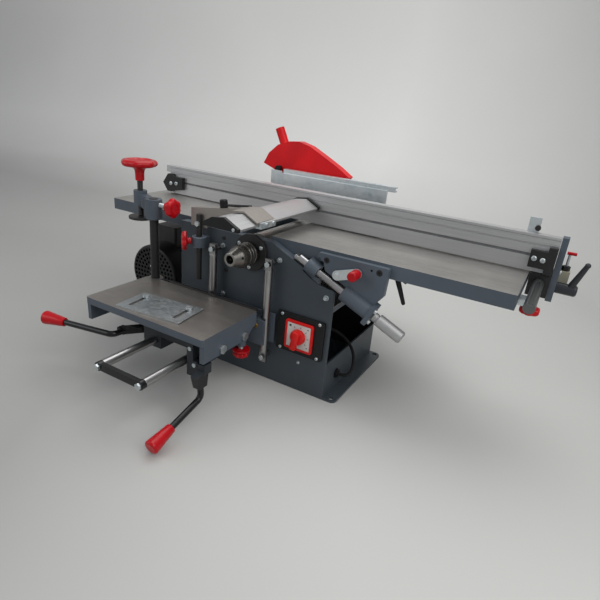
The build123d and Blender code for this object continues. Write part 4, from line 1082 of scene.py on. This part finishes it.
class MACHINE_OT_levers(Dresser, bpy.types.Operator):
    """Stroke lever, cross lever, tilt lever, table lever, guard lever and crank"""
    bl_idname = "machine.levers"
    bl_label = "Levers"

    def dress(self, size):
        softened("cross_lever", ["lever"], size.cast_edge, "black_metal",
                 choose=lambda low, high: None if high.x < -280 else 0)
        cross_grip = grip((-292, -353.4, 107), (-342, -363.1, 107), 9, 14)
        settle(coat(cross_grip, "red"), "cross_lever_grip", "red_plastic", "cross_lever")
        stroke = softened("stroke_lever", ["lever", "cast_dark"], size.cast_edge, "black_metal",
                          choose=lambda low, high: None if high.y < -380 else 0)
        head_foot = 95.8
        lay_finish(stroke, 1, lambda m, n: m.z > head_foot)
        stroke_grip = grip((40, -402, 29.1), (40, -450, 17), 9, 13.5)
        settle(coat(stroke_grip, "red"), "stroke_lever_grip", "red_plastic", "stroke_lever")
        softened("tilt_lever", ["lever_grey"], size.cast_edge, "black_plastic")
        for node in ("table_lock_lever", "guard_lock_knob"):
            softened(node, ["black_gloss"], size.sheet_edge, "black_plastic")
        softened("lock_crank", ["zinc"], size.sheet_edge, "zinc",
                 choose=lambda low, high: None if low.y < -140 else 0)
        low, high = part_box("lock_crank")
        knob_r, knob_length = 9.5, 25
        tip = Vector((high.x / MM - knob_r, low.y / MM + knob_length, 281.67))
        body = [(8.2, 0), (9.0, 0.5), (9.4, 1.6), (knob_r, 8), (9.4, 20), (9.0, 23), (8.2, 24.4),
                (7.0, knob_length), (3, knob_length)]
        knob = coat(turned(body, 40, tip, FRONT), "red")
        settle(knob, "lock_crank_knob", "red_plastic", "lock_crank")


class MACHINE_OT_switch(Dresser, bpy.types.Operator):
    """Rotary switch: plate, red frame, pale dial with marks, and knob"""
    bl_idname = "machine.switch"
    bl_label = "Switch"

    def dress(self, size):
        def part(low, high):
            return 0 if high.y > -100 or high.x - low.x > 90 else 1
        plate = softened("switch_plate", ["black_gloss", "switch_red", "dial"], size.cast_edge,
                         "black_plastic", choose=part)
        middle_x, face, middle_z = DIAL
        half_dial = 26.2

        def on_dial(m, n):
            return max(abs(m.x - middle_x), abs(m.z - middle_z)) < half_dial and -139.4 < m.y < -136.5
        lay_finish(plate, 2, on_dial)
        marks = []
        for turn in (-40, 0, 40, 80, 120):
            mark = block((19, -0.3, -0.5), (22.5, 0.3, 0.5), 0.15)
            mark.matrix_world = Matrix.Rotation(math.radians(-turn), 4, "Y")
            marks.append(set_on(mark, DIAL, UP))
        for x, height, half in ((108, 148, 2.2), (148, 148, 1.2), (148, 108, 1.2)):
            low = (x - half, face - 0.3, height - half)
            high = (x + half, face + 0.3, height + half)
            marks.append(block(low, high, 0.2))
        settle(coat(merge(*marks), "black"), "switch_dial_marks", "black_plastic", body="base")
        boss = [(15.2, 0), (16, 0.6), (16, 6.4), (15, 8.4), (13, 9.4), (6, 9.6)]
        base = turned(boss, 48, DIAL, FRONT)
        handle = block((-17, -6.5, -7.5), (25, 6.5, 7.5), 3.0, 0.88)
        handle.matrix_world = Matrix.Rotation(math.radians(100), 4, "Y")
        set_on(handle, (middle_x, face - 13, middle_z), UP)
        settle(coat(merge(base, handle), "switch_red"), "switch_knob_moulded", "red_plastic", "switch_knob")


class MACHINE_OT_saw(Dresser, bpy.types.Operator):
    """Saw table, riving knife, hood and rip fence"""
    bl_idname = "machine.saw"
    bl_label = "Saw"

    def dress(self, size):
        softened("saw_table", ["sheet"], size.sheet_edge, "aluminium")
        softened("riving_knife", ["zinc"], size.sheet_edge * 0.5, "zinc")
        hood = softened("saw_hood", ["hood", "black_gloss", "bolt"], size.cast_edge, "red_plastic",
                        choose=lambda low, high: 0 if high.x - low.x > 60 or high.z > 480 else 2)
        hood_side = 151.8
        lay_finish(hood, 1, lambda m, n: m.y < hood_side)
        softened("rip_fence", ["zinc"], size.sheet_edge * 0.5, "zinc")


class MACHINE_PT_panel(bpy.types.Panel):
    """Lists the machine's pieces and settings"""
    bl_idname = "MACHINE_PT_panel"
    bl_label = "Woodworking machine"
    bl_space_type = "VIEW_3D"
    bl_region_type = "UI"
    bl_category = "Machine"

    def draw(self, context):
        for group in ("colours", "sizes", "stage"):
            box = self.layout.box()
            for key in settings(group).bl_rna.properties.keys():
                if key not in ("rna_type", "name"):
                    box.prop(settings(group), key)
        for piece in OPERATORS:
            self.layout.operator(piece.bl_idname)


GROUPS = (("colours", MachineColours), ("sizes", MachineSizes), ("stage", MachineStage))
OPERATORS = (
    MACHINE_OT_stage, MACHINE_OT_lead, MACHINE_OT_cabinet, MACHINE_OT_bolts, MACHINE_OT_tables,
    MACHINE_OT_spindle, MACHINE_OT_motor, MACHINE_OT_fence, MACHINE_OT_guard, MACHINE_OT_mortiser,
    MACHINE_OT_hold_down, MACHINE_OT_star_knobs, MACHINE_OT_levers, MACHINE_OT_switch, MACHINE_OT_saw,
)


def register():
    for name, group in GROUPS:
        bpy.utils.register_class(group)
        setattr(bpy.types.Scene, "machine_" + name, PointerProperty(type=group))
    for piece in (*OPERATORS, MACHINE_PT_panel):
        bpy.utils.register_class(piece)


def unregister():
    for piece in reversed((*OPERATORS, MACHINE_PT_panel)):
        bpy.utils.unregister_class(piece)
    for name, group in reversed(GROUPS):
        delattr(bpy.types.Scene, "machine_" + name)
        bpy.utils.unregister_class(group)


def main():
    register()
    finishes.update(make_finishes())
    for piece in OPERATORS:
        family, name = piece.bl_idname.split(".")
        getattr(getattr(bpy.ops, family), name)()


if __name__ == "__main__":
    main()
